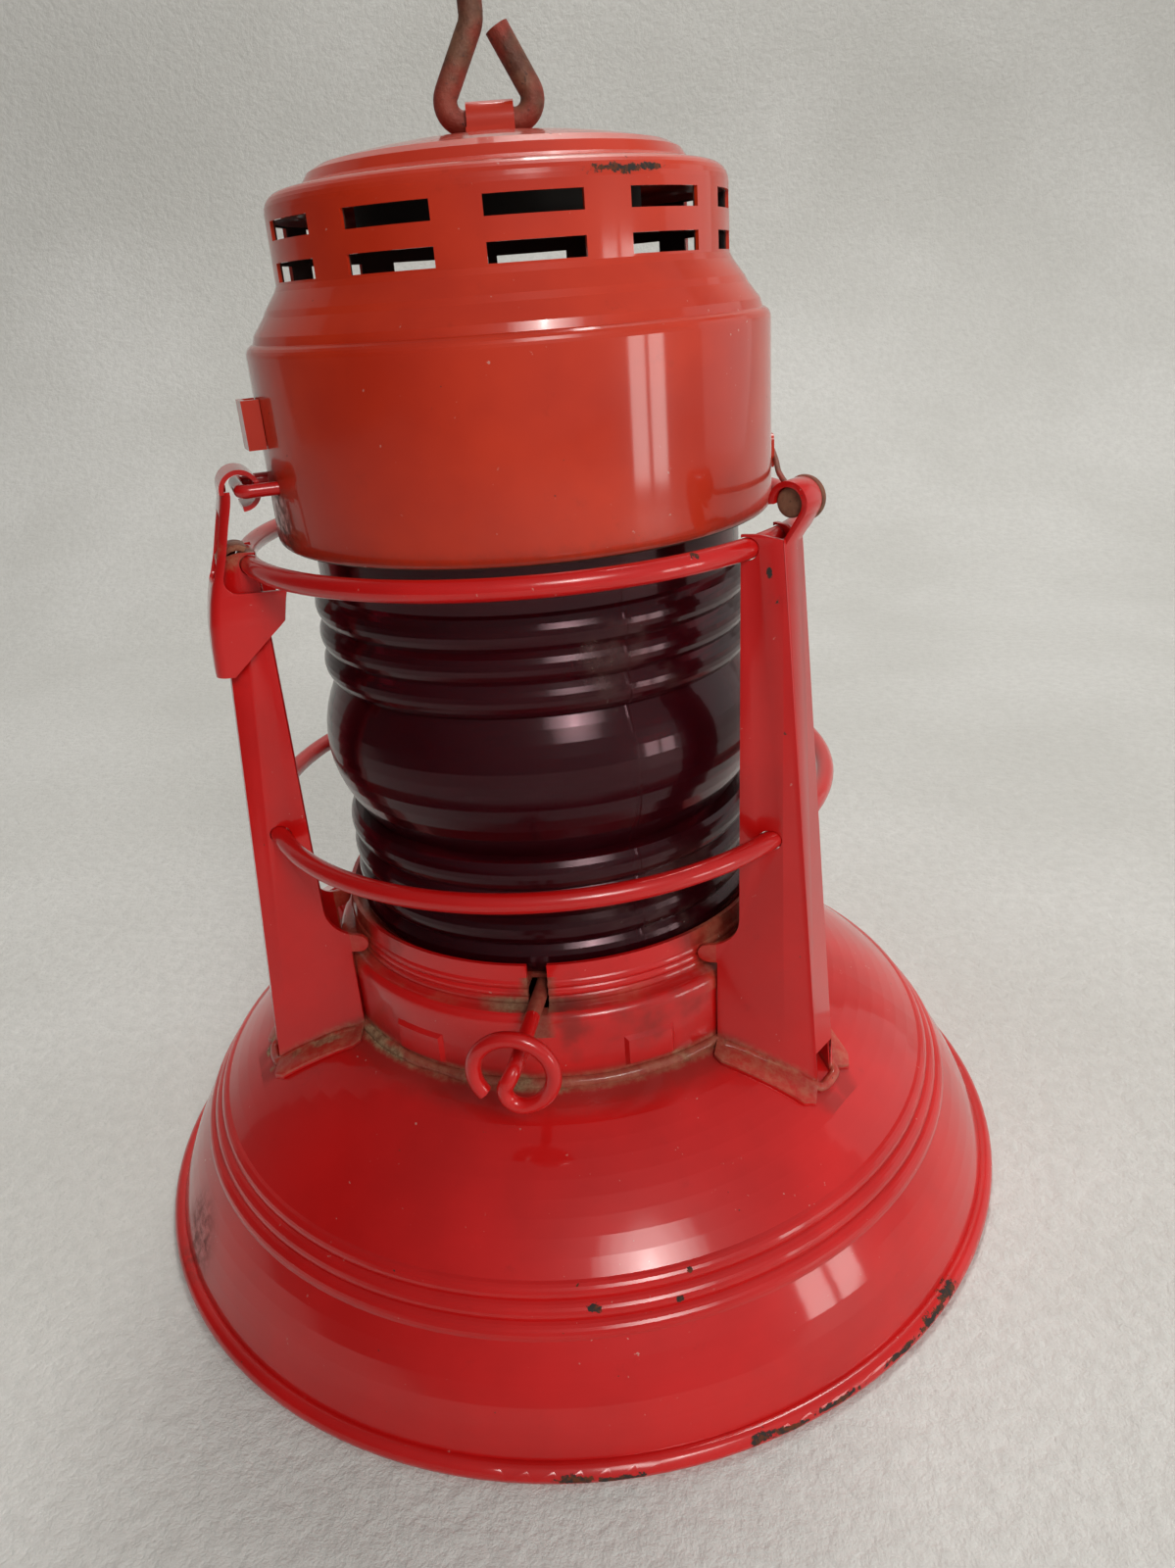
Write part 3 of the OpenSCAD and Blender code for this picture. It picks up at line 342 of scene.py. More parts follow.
BODY_CHIPS = [
    (17.9, -99.3, 2.2, 6, 1.5, 0.9), (24.0, -97.6, 1.6, 7, 2, 0.7), (48.3, -87.6, 2.6, 3, 2.5, 1.2),
    (53.0, -84.8, 2.0, 5, 3, 0.7), (62.0, -78.5, 2.2, 6, 6, 0.6), (80.4, -59.0, 2.6, 5, 6, 0.9),
    (74.0, -67.0, 2.4, 5, 5, 0.6), (84.6, -53.0, 3.6, 2.5, 4, 1.5), (18.5, -83.6, 26.9, 1.1, 1.1, 0.9),
    (33.5, -79.3, 26.0, 0.8, 0.8, 0.7), (35.1, -75.9, 29.7, 0.7, 0.7, 0.7), (-97.5, 22.0, 2.4, 2, 10, 1.2),
    (-30.0, 95.0, 2.2, 9, 2, 1.2), (62.0, 78.0, 2.6, 5, 4, 1.2), (37.4, -43.4, 152.6, 1.2, 1.2, 0.9),
    (50.4, -32.4, 141.0, 0.7, 0.9, 1.7), (49.0, -33.5, 146.4, 0.6, 0.8, 0.9),
    (51.5, -35.0, 118.0, 0.5, 0.5, 1.2)]
CANOPY_CHIPS = [
    (26.7, -31.8, 209.4, 6.5, 5, 0.8), (31.0, -28.0, 209.7, 4, 4, 0.6), (-41.8, -26.0, 152.2, 3, 4, 0.9),
    (20.0, 44.6, 152.6, 6, 3, 1.0), (-12.0, 39.5, 209.4, 6, 3, 0.7)]

body_paint = paint("deep_red_enamel", (0.60, 0.0055, 0.005), (0.48, 0.0035, 0.003), BODY_CHIPS, body_dirt_and_shade)
canopy_paint = paint("orange_red_enamel", (0.58, 0.032, 0.005), (0.46, 0.020, 0.003), CANOPY_CHIPS,
                     canopy_dirt_and_shade)
print("paint nodes:", len(body_paint.node_tree.nodes), len(canopy_paint.node_tree.nodes))

# %% [markdown]
# ## Rusty wire
# The hanger and the hinge pin have lost most of their paint. Thin red remains in patches, brown rust lies
# over the rest, and the surface is pitted.

# %% Rusty steel
def rusty_steel():
    net = Net("rusty_wire")
    patch = net.noise(120, 5, 0.65)
    pits = net.noise(900, 4, 0.7)
    red = net.noise(75, 3, 0.55, (1, 4, 2)).ramp(0.42, 0.58)
    brown = net.mix(patch.ramp(0.35, 0.7), (0.10, 0.035, 0.02), (0.22, 0.10, 0.055))
    base = net.mix(red * 0.75, brown, (0.30, 0.035, 0.02))
    base = net.mix(pits.ramp(0.58, 0.7) * 0.7, base, (0.035, 0.015, 0.012))
    rough = 0.42 + patch * 0.35
    shader = net.principled(base_color=base, roughness=rough, metallic=patch.ramp(0.7, 0.3) * 0.35,
                            normal=net.bump(pits + patch * 1.5, 0.6, 0.0004))
    return net.surface(shader)


rusty = rusty_steel()
print(rusty.name)

# %% [markdown]
# ## Ruby glass
# The globe is pressed glass, coloured through. In daylight it is nearly black with a wine-red edge, and
# light only shows where it passes a single wall. A dark haze mixed into the glass stands for the soot on
# its inside and is also painted shade for the dark inside under the canopy. A seam of the mould runs down
# it, and dust lies on the ledges of the ribs.

# %% Ruby glass
GLOBE_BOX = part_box("globe")
SEAM_ANGLE = math.radians(-56.5)
SOOT_AND_SHADE_HAZE_SHARE = 0.42


def ruby_glass():
    net = Net("ruby_glass")
    x, y, z = net.axes()
    off_seam = abs(x * math.sin(SEAM_ANGLE) - y * math.cos(SEAM_ANGLE))
    front = (x * math.cos(SEAM_ANGLE) + y * math.sin(SEAM_ANGLE)) > 0
    seam = off_seam.ramp(0.5 * MM, 0.12 * MM) * front
    dust_cloud = net.noise(90, 5, 0.65, (2, 2, 2))
    specks = net.noise(1100, 2, 0.5).ramp(0.70, 0.745)
    low = (abs(z - 82 * MM)).ramp(14 * MM, 2 * MM) * (x - 4 * MM).ramp(0.0, 22 * MM)
    high = (abs(z - 133 * MM)).ramp(12 * MM, 2 * MM) * (abs(off_seam - 6 * MM)).ramp(9 * MM, 2 * MM) * front
    dusty = (low.most(high) * dust_cloud.ramp(0.45, 0.68)).least(1.0)
    glass = net.principled(base_color=(0.26, 0.007, 0.02), roughness=0.09 + dusty * 0.25,
                           transmission_weight=1.0, ior=1.45, specular_tint=(1.0, 0.62, 0.70),
                           normal=net.bump(seam * 1.5 + net.noise(22, 2, 0.5) * 1.2, 0.3, 0.0005))
    # the haze is partly soot and partly painted shade for the globe's dark inside under the canopy
    soot_and_shade_haze = net.principled(base_color=(0.050, 0.003, 0.007), roughness=0.28, specular_ior_level=0.2)
    glass = net.node("ShaderNodeMixShader", None, {0: SOOT_AND_SHADE_HAZE_SHARE, 1: glass, 2: soot_and_shade_haze})
    dust = net.principled(base_color=(0.30, 0.21, 0.17), roughness=0.9)
    cover = (dusty * 0.10 + specks * (0.03 + dusty * 0.5)).least(0.7)
    mixed = net.node("ShaderNodeMixShader", None, {0: cover, 1: glass, 2: dust})
    return net.surface(mixed)


ruby = ruby_glass()
print("globe stands between", [round(v, 4) for v in (GLOBE_BOX[0].z, GLOBE_BOX[1].z)])

# %% [markdown]
# ## Tin, brass, wick and leather
# These are inside or behind. Tin plate greys and spots, brass goes brown round the flame, the wick is
# a flat woven tape, charred at its top, and the filler's gasket is a punched leather ring.

# %% Small finishes
def tin(name, soot):
    net = Net(name)
    stain = net.noise(45, 5, 0.6)
    base = net.mix(stain.ramp(0.4, 0.7), (0.42, 0.41, 0.38), (0.16, 0.11, 0.07))
    black = (net.noise(80, 5, 0.65, (3, 3, 3)) * 0.5 + soot).ramp(0.45, 0.85)
    base = net.mix(black, base, (0.022, 0.018, 0.015))
    shader = net.principled(base_color=base, roughness=0.32 + stain * 0.3 + black * 0.3,
                            metallic=stain.ramp(0.75, 0.4) * (1 - black),
                            normal=net.bump(net.noise(300, 3), 0.15, 0.0003))
    return net.surface(shader)


def brass():
    net = Net("sooted_brass")
    z = net.axes()[2]
    soot = (z + (net.noise(120, 4) - 0.5) * 12 * MM).ramp(76 * MM, 88 * MM)
    stain = net.noise(60, 4, 0.6)
    base = net.mix(stain.ramp(0.35, 0.7), (0.62, 0.40, 0.14), (0.26, 0.14, 0.05))
    base = net.mix(soot * 0.85, base, (0.02, 0.018, 0.016))
    shader = net.principled(base_color=base, roughness=0.3 + stain * 0.35 + soot * 0.3,
                            metallic=1 - soot * 0.9, normal=net.bump(net.noise(400, 3), 0.12, 0.0003))
    return net.surface(shader)


def wick_cotton():
    net = Net("woven_wick")
    _, y, z = net.axes()
    weave = (y * (math.tau / (1.2 * MM))).math("SINE") * (z * (math.tau / (1.4 * MM))).math("SINE")
    char = (z + (net.noise(500, 3) - 0.5) * 2 * MM).ramp(81.5 * MM, 83.5 * MM)
    base = net.mix(weave * 0.5 + 0.5, (0.62, 0.55, 0.40), (0.78, 0.72, 0.56))
    base = net.mix(char, base, (0.015, 0.013, 0.012))
    shader = net.principled(base_color=base, roughness=0.95, normal=net.bump(weave, 0.6, 0.0003))
    return net.surface(shader)


def leather():
    net = Net("gasket_leather")
    grain = net.node("ShaderNodeTexVoronoi", None, {"Vector": net.place, "Scale": 900})
    base = net.mix(net.noise(200, 3), (0.10, 0.05, 0.025), (0.19, 0.10, 0.05))
    shader = net.principled(base_color=base, roughness=0.7, normal=net.bump(grain, 0.4, 0.0003))
    return net.surface(shader)


FINISHES = {
    body_paint: ["fount_dome", "fount_bottom", "fount_collar", "filler_neck", "burner_gallery",
                 "hinge_post", "latch_post", "rear_post", "upper_guard_ring", "lower_guard_ring",
                 "latch_staple", "latch_hasp", "wick_winder", "filler_cap"],
    canopy_paint: ["canopy_shell", "hinge_leaf", "leaf_rivets", "side_lug", "hanger_strap"],
    rusty: ["hinge_pin", "hanger_wire"],
    ruby: ["globe"],
    # the baffle and globe holder are blackened partly as soot and partly as painted shade of the canopy's
    # dark inside
    tin("soot_and_shade_tinplate", 0.9): ["draft_baffle", "globe_holder"],
    tin("aged_tinplate", 0.1): ["wick_wheels"],
    brass(): ["burner_body", "wick_tube", "burner_cone"],
    wick_cotton(): ["wick"],
    leather(): ["filler_gasket"],
}
for material, names in FINISHES.items():
    for name in names:
        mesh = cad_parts[name].data
        mesh.materials.clear()
        mesh.materials.append(material)
print("finished nodes:", sum(len(names) for names in FINISHES.values()))

# %% [markdown]
# ## Modelling by hand
# Pieces that are pressed or folded from sheet look stiff when they are drawn as plain solids. They are
# modelled here as in the viewport: add a primitive, select what is to change by its place, extrude, bevel
# or move it, and finish with modifiers. These helpers keep the steps short.

# %% Helpers for modelling
def turn(obj, mode):
    bpy.context.view_layer.objects.active = obj
    bpy.ops.object.mode_set(mode=mode)


def pick(obj, test, kind="FACE"):
    """In edit mode, select the vertices, edges or faces whose middle passes the test."""
    bpy.ops.mesh.select_mode(type=kind)
    bpy.ops.mesh.select_all(action="DESELECT")
    turn(obj, "OBJECT")
    mesh = obj.data
    places = [v.co for v in mesh.vertices]
    if kind == "VERT":
        for vertex in mesh.vertices:
            vertex.select = bool(test(vertex.co))
    elif kind == "EDGE":
        for edge in mesh.edges:
            edge.select = bool(test((places[edge.vertices[0]] + places[edge.vertices[1]]) / 2))
    else:
        for face in mesh.polygons:
            face.select = bool(test(face.center))
    turn(obj, "EDIT")


def modify(obj, kind, **settings):
    """Add a modifier with its settings and apply it."""
    turn(obj, "OBJECT")
    modifier = obj.modifiers.new(kind.lower(), kind)
    for key, value in settings.items():
        setattr(modifier, key, value)
    bpy.ops.object.modifier_apply(modifier=modifier.name)


def begin(operator, name, **settings):
    """Deselect everything and add one primitive, which opens in edit mode."""
    if bpy.context.object and bpy.context.object.mode != "OBJECT":
        bpy.ops.object.mode_set(mode="OBJECT")
    bpy.ops.object.select_all(action="DESELECT")
    operator(**settings)
    obj = bpy.context.object
    obj.name = obj.data.name = name
    bpy.ops.object.transform_apply(location=True, rotation=True, scale=True)
    turn(obj, "EDIT")
    return obj


def finish_piece(obj, material, body, replaced=(), around=None, smooth=40):
    """Turn the piece round the lantern's axis to its place, smooth it, dress it and tie it to its body."""
    turn(obj, "OBJECT")
    bpy.ops.object.select_all(action="DESELECT")
    obj.select_set(True)
    if around is not None:
        obj.rotation_euler = (0, 0, math.radians(around))
        bpy.ops.object.transform_apply(location=False, rotation=True, scale=False)
    bpy.ops.object.shade_smooth_by_angle(angle=math.radians(smooth))
    obj.data.materials.clear()
    obj.data.materials.append(material)
    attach(obj, body)
    if replaced:
        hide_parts(*replaced)
    low, high = piece_box(obj)
    print(obj.name, "faces", len(obj.data.polygons), "low", low, "high", high)
    return obj


def piece_box(obj):
    corners = [v.co for v in obj.data.vertices]
    return [[round(end(c[i] for c in corners) / MM, 1) for i in range(3)] for end in (min, max)]


def dome_top(r):
    """Height of the tank's dome at a distance from the axis."""
    return DOME_Z + math.sqrt(DOME_ARC ** 2 - (r - DOME_U) ** 2)


print("dome at the collar", round(dome_top(COLLAR_R) / MM, 2), "mm")

# %% [markdown]
# ## Collar
# The real collar is a pressed band: its upper edge rolls in to meet the gallery, and flat pads are pressed
# out of its wall. It starts as an open cylinder. The pads are faces inset and pushed outwards, and the top
# edge is extruded inwards in small steps. The solidify modifier gives the sheet its thickness, and a box
# cut out of it makes the winder's slot.

# %% Collar
PADS = [(-114.7, 6.6), (-59.4, 6.1), (0.0, 6.2), (60.0, 6.2), (120.0, 6.2), (178.0, 6.2)]
PAD_LOW, PAD_HIGH = 51.6 * MM, 58.6 * MM
ROLL = [(50.75, 64.35), (50.15, 65.15), (49.2, 65.5), (48.2, 65.7), (47.55, 66.2)]
SLOT_WIDE, SLOT_HIGH, SLOT_Z = 3.9 * MM, 7.6 * MM, 69.0 * MM


def angle_off(place, degrees):
    """Angle in degrees between a place and a direction round the axis."""
    off = math.degrees(math.atan2(place[1], place[0])) - degrees
    return abs((off + 180) % 360 - 180)


def on_pad(place):
    near = min(angle_off(place, middle) - half for middle, half in PADS)
    return near < 0 and PAD_LOW < place[2] < PAD_HIGH


def collar():
    low, high = 48.4 * MM, 63.3 * MM
    obj = begin(bpy.ops.mesh.primitive_cylinder_add, "pressed_collar", vertices=240, radius=COLLAR_R,
                depth=high - low, end_fill_type="NOTHING", location=(0, 0, (low + high) / 2))
    for level in (PAD_LOW, PAD_HIGH, 50.2 * MM, 54.0 * MM, 56.3 * MM, 61.0 * MM):
        bpy.ops.mesh.select_all(action="SELECT")
        bpy.ops.mesh.bisect(plane_co=(0, 0, level), plane_no=(0, 0, 1))
    pick(obj, on_pad)
    bpy.ops.mesh.inset(thickness=0.75 * MM, use_even_offset=True)
    bpy.ops.transform.shrink_fatten(value=0.8 * MM)
    bpy.ops.mesh.inset(thickness=0.4 * MM, use_even_offset=True)
    last = high
    for r, z in ROLL:
        pick(obj, lambda c: c.z > last - 0.01 * MM, "EDGE")
        bpy.ops.mesh.extrude_edges_move(TRANSFORM_OT_translate={"value": (0, 0, z * MM - last)})
        grow = r * MM / collar_edge(obj, z * MM)
        bpy.ops.transform.resize(value=(grow, grow, 1), center_override=(0, 0, z * MM))
        last = z * MM
    bpy.ops.mesh.select_all(action="SELECT")
    bpy.ops.mesh.normals_make_consistent(inside=False)
    modify(obj, "SOLIDIFY", thickness=0.8 * MM, offset=-1)
    middle = (SHAFT_X, -COLLAR_R + 0.5 * MM, SLOT_Z)
    slot = begin(bpy.ops.mesh.primitive_cube_add, "slot_cutter", size=1, location=middle)
    bpy.ops.transform.resize(value=(SLOT_WIDE, 12 * MM, SLOT_HIGH), center_override=middle)
    turn(slot, "OBJECT")
    turn(obj, "OBJECT")
    modify(obj, "BOOLEAN", operation="DIFFERENCE", object=slot, solver="EXACT")
    bpy.data.objects.remove(slot)
    return finish_piece(obj, body_paint, "frame", ["fount_collar"])


def collar_edge(obj, z):
    """Distance from the axis of the edge loop at a height, read after a step in edit mode."""
    obj.update_from_editmode()
    return max(math.hypot(v.co.x, v.co.y) for v in obj.data.vertices if abs(v.co.z - z) < 0.02 * MM)


collar()

# %% [markdown]
# ## Hasp
# The hasp is one folded sheet. Two straps run down from a curl on the staple, with a window between them
# for the post's ear. Below, the sides fold round the post, and their upper edge is cut in a curve so that
# they swing free of the guard wire. A box loses three faces and becomes the folded channel, its corners
# are bevelled, cutters with rounded edges take out the window and the curve, and a last small bevel
# breaks the edges of the sheet.

# %% Hasp
STAPLE_U, STAPLE_Z, CURL_R = 54.8 * MM, 164.0 * MM, 3.7 * MM
HASP_WIDE = 11.0 * MM
NOSE, WING_END = 65.3 * MM, 52.0 * MM
# in millimetres: the window, the cuts below the wings (a point and a direction) and the face's lean
WINDOW_W, WINDOW_TOP = 4.5, 160.2
WING_CUTS = [(61.9, 130.3, -9.0, 8.3), (54.5, 136.7, -2.6, 7.4)]
LEAN = [(120, 65.7), (131, 65.5), (136, 65.2), (140, 64.8), (144, 64.0), (148, 62.85), (152, 61.5),
        (158, 59.9), (161, 59.0), (163, 58.5), (175, 58.5)]


def cut(obj, corner_low, corner_high, rounding, steps, rounded):
    """Take a box with rounded edges out of the piece; rounded tells which of its edges are round."""
    middle = [(a + b) / 2 * MM for a, b in zip(corner_low, corner_high)]
    size = [(b - a) * MM for a, b in zip(corner_low, corner_high)]
    cutter = begin(bpy.ops.mesh.primitive_cube_add, "cutter", size=1, location=middle)
    bpy.ops.transform.resize(value=size, center_override=middle)
    pick(cutter, rounded, "EDGE")
    bpy.ops.mesh.bevel(offset=rounding * MM, segments=steps, affect="EDGES")
    turn(cutter, "OBJECT")
    modify(obj, "BOOLEAN", operation="DIFFERENCE", object=cutter, solver="EXACT")
    bpy.data.objects.remove(cutter)


def lean(z):
    """How far the hasp's outer face stands from the axis at a height."""
    for (z0, u0), (z1, u1) in zip(LEAN, LEAN[1:]):
        if z <= z1 * MM:
            t = max(0.0, (z / MM - z0) / (z1 - z0))
            return (u0 + (u1 - u0) * t) * MM
    return LEAN[-1][1] * MM


def hasp():
    low, high = 130.3 * MM, 164.0 * MM
    middle = ((WING_END + NOSE) / 2, 0, (low + high) / 2)
    obj = begin(bpy.ops.mesh.primitive_cube_add, "folded_hasp", size=1, location=middle)
    bpy.ops.transform.resize(value=(NOSE - WING_END, HASP_WIDE, high - low), center_override=middle)
    pick(obj, lambda c: c.x < WING_END + 0.2 * MM or c.z > high - 0.1 * MM or c.z < low + 0.1 * MM)
    bpy.ops.mesh.delete(type="FACE")
    pick(obj, lambda c: c.x < WING_END + 0.2 * MM, "VERT")
    bpy.ops.transform.resize(value=(1, 1.60, 1), center_override=(WING_END, 0, 0))
    pick(obj, lambda c: c.x > NOSE - 0.1 * MM and abs(c.y) > 5 * MM, "EDGE")
    bpy.ops.mesh.bevel(offset=2.0 * MM, segments=6, affect="EDGES")
    for step in range(1, 34):
        bpy.ops.mesh.select_all(action="SELECT")
        bpy.ops.mesh.bisect(plane_co=(0, 0, low + step * 1.0 * MM), plane_no=(0, 0, 1))
    for u, z, along_u, along_z in WING_CUTS:
        bpy.ops.mesh.select_all(action="SELECT")
        bpy.ops.mesh.bisect(plane_co=(u * MM, 0, z * MM), plane_no=(-along_z, 0, along_u), clear_outer=True)
    bpy.ops.mesh.select_all(action="SELECT")
    bpy.ops.mesh.normals_make_consistent(inside=False)
    modify(obj, "SOLIDIFY", thickness=0.8 * MM, offset=-1)
    cut(obj, (30, -20, 145.9), (63.5, 20, 180), 3.4, 8, lambda c: c.x > 63 * MM and c.z < 146 * MM)
    cut(obj, (60, -WINDOW_W, 147.6), (70, WINDOW_W, WINDOW_TOP), 1.2, 5,
        lambda c: abs(c.y) > (WINDOW_W - 0.1) * MM and (c.z < 147.7 * MM or c.z > (WINDOW_TOP - 0.1) * MM))
    for vertex in obj.data.vertices:
        vertex.co.x += lean(vertex.co.z) - NOSE
    modify(obj, "BEVEL", width=0.18 * MM, segments=2, limit_method="ANGLE", angle_limit=math.radians(50))
    return obj


def hasp_curl():
    """The curl round the staple's bar: most of a short open cylinder, as thick as the sheet."""
    obj = begin(bpy.ops.mesh.primitive_cylinder_add, "curl", vertices=56, radius=CURL_R, depth=HASP_WIDE,
                end_fill_type="NOTHING", rotation=(math.pi / 2, 0, 0), location=(STAPLE_U, 0, STAPLE_Z))
    pick(obj, lambda c: c.z < STAPLE_Z - 0.3 * MM and c.x > STAPLE_U - 0.2 * MM)
    bpy.ops.mesh.delete(type="FACE")
    bpy.ops.mesh.select_all(action="SELECT")
    bpy.ops.mesh.normals_make_consistent(inside=False)
    modify(obj, "SOLIDIFY", thickness=0.85 * MM, offset=-1)
    return obj


folded, curl = hasp(), hasp_curl()
bpy.ops.object.select_all(action="DESELECT")
curl.select_set(True)
folded.select_set(True)
bpy.context.view_layer.objects.active = folded
bpy.ops.object.join()
finish_piece(folded, body_paint, "hasp", ["latch_hasp"], around=-150)

# %% [markdown]
# ## Posts with rounded folds
# The posts are channels folded from thick sheet. Their construction model has the folds as sharp lines,
# and a real fold is round. A copy of each post is merged, its flat triangles are dissolved, and the long
# edges of the folds are bevelled. They are found by their place on both sides of the web, which leans in
# along a straight line between two points, given in millimetres.

# %% Posts
WEB_LOW, WEB_HIGH = (69.5, 40), (61.2, 152)


def copy_of(node, name):
    bpy.ops.object.select_all(action="DESELECT")
    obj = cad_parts[node].copy()
    obj.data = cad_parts[node].data.copy()
    obj.name = obj.data.name = name
    bpy.context.scene.collection.objects.link(obj)
    obj.hide_render = obj.hide_viewport = False
    obj.select_set(True)
    turn(obj, "EDIT")
    bpy.ops.mesh.select_all(action="SELECT")
    bpy.ops.mesh.remove_doubles(threshold=0.002 * MM)
    bpy.ops.mesh.dissolve_limited(angle_limit=math.radians(0.5))
    turn(obj, "OBJECT")
    return obj


def beside_post(place, around):
    """A place as distance along and beside a post's middle plane."""
    a = math.radians(around)
    return place.x * math.cos(a) + place.y * math.sin(a), place.y * math.cos(a) - place.x * math.sin(a)


def rounded_post(node, around):
    obj = copy_of(node, "folded_" + node)
    turn(obj, "EDIT")

    def fold(c):
        u, w = beside_post(c, around)
        (u0, z0), (u1, z1) = WEB_LOW, WEB_HIGH
        web = (u0 + (u1 - u0) * (c.z / MM - z0) / (z1 - z0)) * MM
        return abs(abs(w) - WEB_HALF) < 0.12 * MM and abs(u - web) < 0.5 * MM and c.z < (z1 - 1) * MM

    pick(obj, fold, "EDGE")
    count = sum(edge.select for edge in obj.data.edges)
    bpy.ops.mesh.bevel(offset=1.25 * MM, segments=5, affect="EDGES", clamp_overlap=True)
    modify(obj, "BEVEL", width=0.2 * MM, segments=2, limit_method="ANGLE", angle_limit=math.radians(55))
    print(node, "fold edges", count)
    return finish_piece(obj, body_paint, "frame", [node], smooth=50)


for node, around in (("hinge_post", -30), ("latch_post", -150), ("rear_post", 90)):
    rounded_post(node, around)

# %% [markdown]
# ## Hinge
# The hinge's barrel is a short rusty rod inside the post's curl. The leaf lies beside the curl. A slim arm
# runs from an eye round the rod, close along the skirt, to a plate that is riveted to the skirt. The rod is
# a cylinder with bevelled ends, the arm is a wire, and the plate is a piece of a cylinder made thick.

# %% Hinge
PIN_U, PIN_Z = 61.5 * MM, 158.0 * MM
ROD_R, ROD_LONG, ROD_BESIDE = 2.6 * MM, 6.4 * MM, 1.5 * MM
# the wire's places, in millimetres
EYE_R, EYE_BESIDE = 3.3, 3.5
ARM_TURNS = [
    (57.9, 4.2, 157.5), (57.3, 5.3, 157.3), (56.2, 7.2, 157.3), (50.6, 16.0, 157.4),
    (44.2, 24.3, 158.0), (40.4, 29.7, 159.2), (37.2, 33.7, 160.6)]
PLATE_R, PLATE_AT, PLATE_HALF = 49.9 * MM, 44, 6
RIVET_R, RIVET_Z = 49.45 * MM, 160.2 * MM


def hinge_rod():
    obj = begin(bpy.ops.mesh.primitive_cylinder_add, "hinge_rod", vertices=48, radius=ROD_R, depth=ROD_LONG,
                rotation=(math.pi / 2, 0, 0), location=(PIN_U, ROD_BESIDE, PIN_Z))

    def on_end(c):
        return abs(c.y - ROD_BESIDE) > ROD_LONG / 2 - 0.1 * MM

    pick(obj, on_end)
    bpy.ops.mesh.inset(thickness=0.5 * MM)
    pick(obj, lambda c: on_end(c) and math.hypot(c.x - PIN_U, c.z - PIN_Z) > ROD_R - 0.1 * MM, "EDGE")
    bpy.ops.mesh.bevel(offset=0.4 * MM, segments=3, affect="EDGES")
    return finish_piece(obj, rusty, "frame", ["hinge_pin"], around=-30)


def wire_piece(name, points, thick):
    """A wire along points in millimetres: a path curve with a round bevel, made a mesh."""
    if bpy.context.object and bpy.context.object.mode != "OBJECT":
        bpy.ops.object.mode_set(mode="OBJECT")
    bpy.ops.object.select_all(action="DESELECT")
    bpy.ops.curve.primitive_nurbs_path_add(radius=0.02)
    obj = bpy.context.object
    obj.name = obj.data.name = name
    curve = obj.data
    curve.splines.clear()
    spline = curve.splines.new("POLY")
    spline.points.add(len(points) - 1)
    for point, place in zip(spline.points, points):
        point.co = (*(c * MM for c in place), 1)
    curve.dimensions = "3D"
    curve.bevel_depth, curve.bevel_resolution, curve.use_fill_caps = thick / 2 * MM, 4, True
    bpy.ops.object.convert(target="MESH")
    obj = bpy.context.object
    bpy.ops.object.transform_apply(location=True, rotation=True, scale=True)
    turn(obj, "EDIT")
    bpy.ops.mesh.select_all(action="SELECT")
    bpy.ops.mesh.remove_doubles(threshold=0.01 * MM)
    bpy.ops.mesh.normals_make_consistent(inside=False)
    return obj


def smooth_path(points, between=8):
    """Catmull-Rom points through the given ones."""
    ends = [points[0], *points, points[-1]]
    path = []
    for a, b, c, d in zip(ends, ends[1:], ends[2:], ends[3:]):
        for i in range(between):
            t = i / between
            path.append(tuple(0.5 * (2 * q + (r - p) * t + (2 * p - 5 * q + 4 * r - s) * t * t
                                     + (3 * q - p - 3 * r + s) * t ** 3) for p, q, r, s in zip(a, b, c, d)))
    return path + [points[-1]]


def hinge_arm():
    """An eye round the rod and a wire from it along the skirt: the visible part of the leaf."""
    turns = [math.radians(d) for d in range(-100, 181, 10)]
    eye = [(PIN_U / MM + EYE_R * math.cos(a), EYE_BESIDE, PIN_Z / MM + EYE_R * math.sin(a)) for a in turns]
    along = smooth_path([eye[-1], *ARM_TURNS])
    obj = wire_piece("hinge_arm", eye + along[1:], 1.1)
    return finish_piece(obj, rusty, "canopy", around=-30, smooth=60)


def hinge_plate():
    """The leaf on the skirt: a thin curved plate with rounded corners and two rivets."""
    obj = begin(bpy.ops.mesh.primitive_cylinder_add, "hinge_plate", vertices=240, radius=PLATE_R,
                depth=6.4 * MM, end_fill_type="NOTHING", location=(0, 0, 160.9 * MM))
    pick(obj, lambda c: angle_off(c, PLATE_AT) > PLATE_HALF + 0.1)
    bpy.ops.mesh.delete(type="FACE")
    pick(obj, lambda c: angle_off(c, PLATE_AT) > PLATE_HALF - 0.7, "VERT")
    bpy.ops.mesh.bevel(offset=1.2 * MM, segments=4, affect="VERTICES")
    bpy.ops.mesh.select_all(action="SELECT")
    bpy.ops.mesh.normals_make_consistent(inside=False)
    modify(obj, "SOLIDIFY", thickness=0.85 * MM, offset=-1)
    for degrees in (PLATE_AT - 2.5, PLATE_AT + 2.5):
        a = math.radians(degrees)
        begin(bpy.ops.mesh.primitive_uv_sphere_add, "head", segments=20, ring_count=12, radius=1.1 * MM,
              location=(RIVET_R * math.cos(a), RIVET_R * math.sin(a), RIVET_Z))
        turn(bpy.context.object, "OBJECT")
        obj.select_set(True)
        bpy.context.view_layer.objects.active = obj
        bpy.ops.object.join()
    return finish_piece(obj, canopy_paint, "canopy", ["hinge_leaf", "leaf_rivets"],
                        around=-30)


hinge_rod()
hinge_arm()
hinge_plate()

# %% [markdown]
# ## Soldered seams
# The tank, the collar and the posts' feet are joined with solder. It stands proud as an uneven bead, half
# hidden by paint and old flux. The seam round the collar is a torus, and the feet's seams are curves that
# follow the folded foot over the dome. Both are made uneven with a displace modifier.

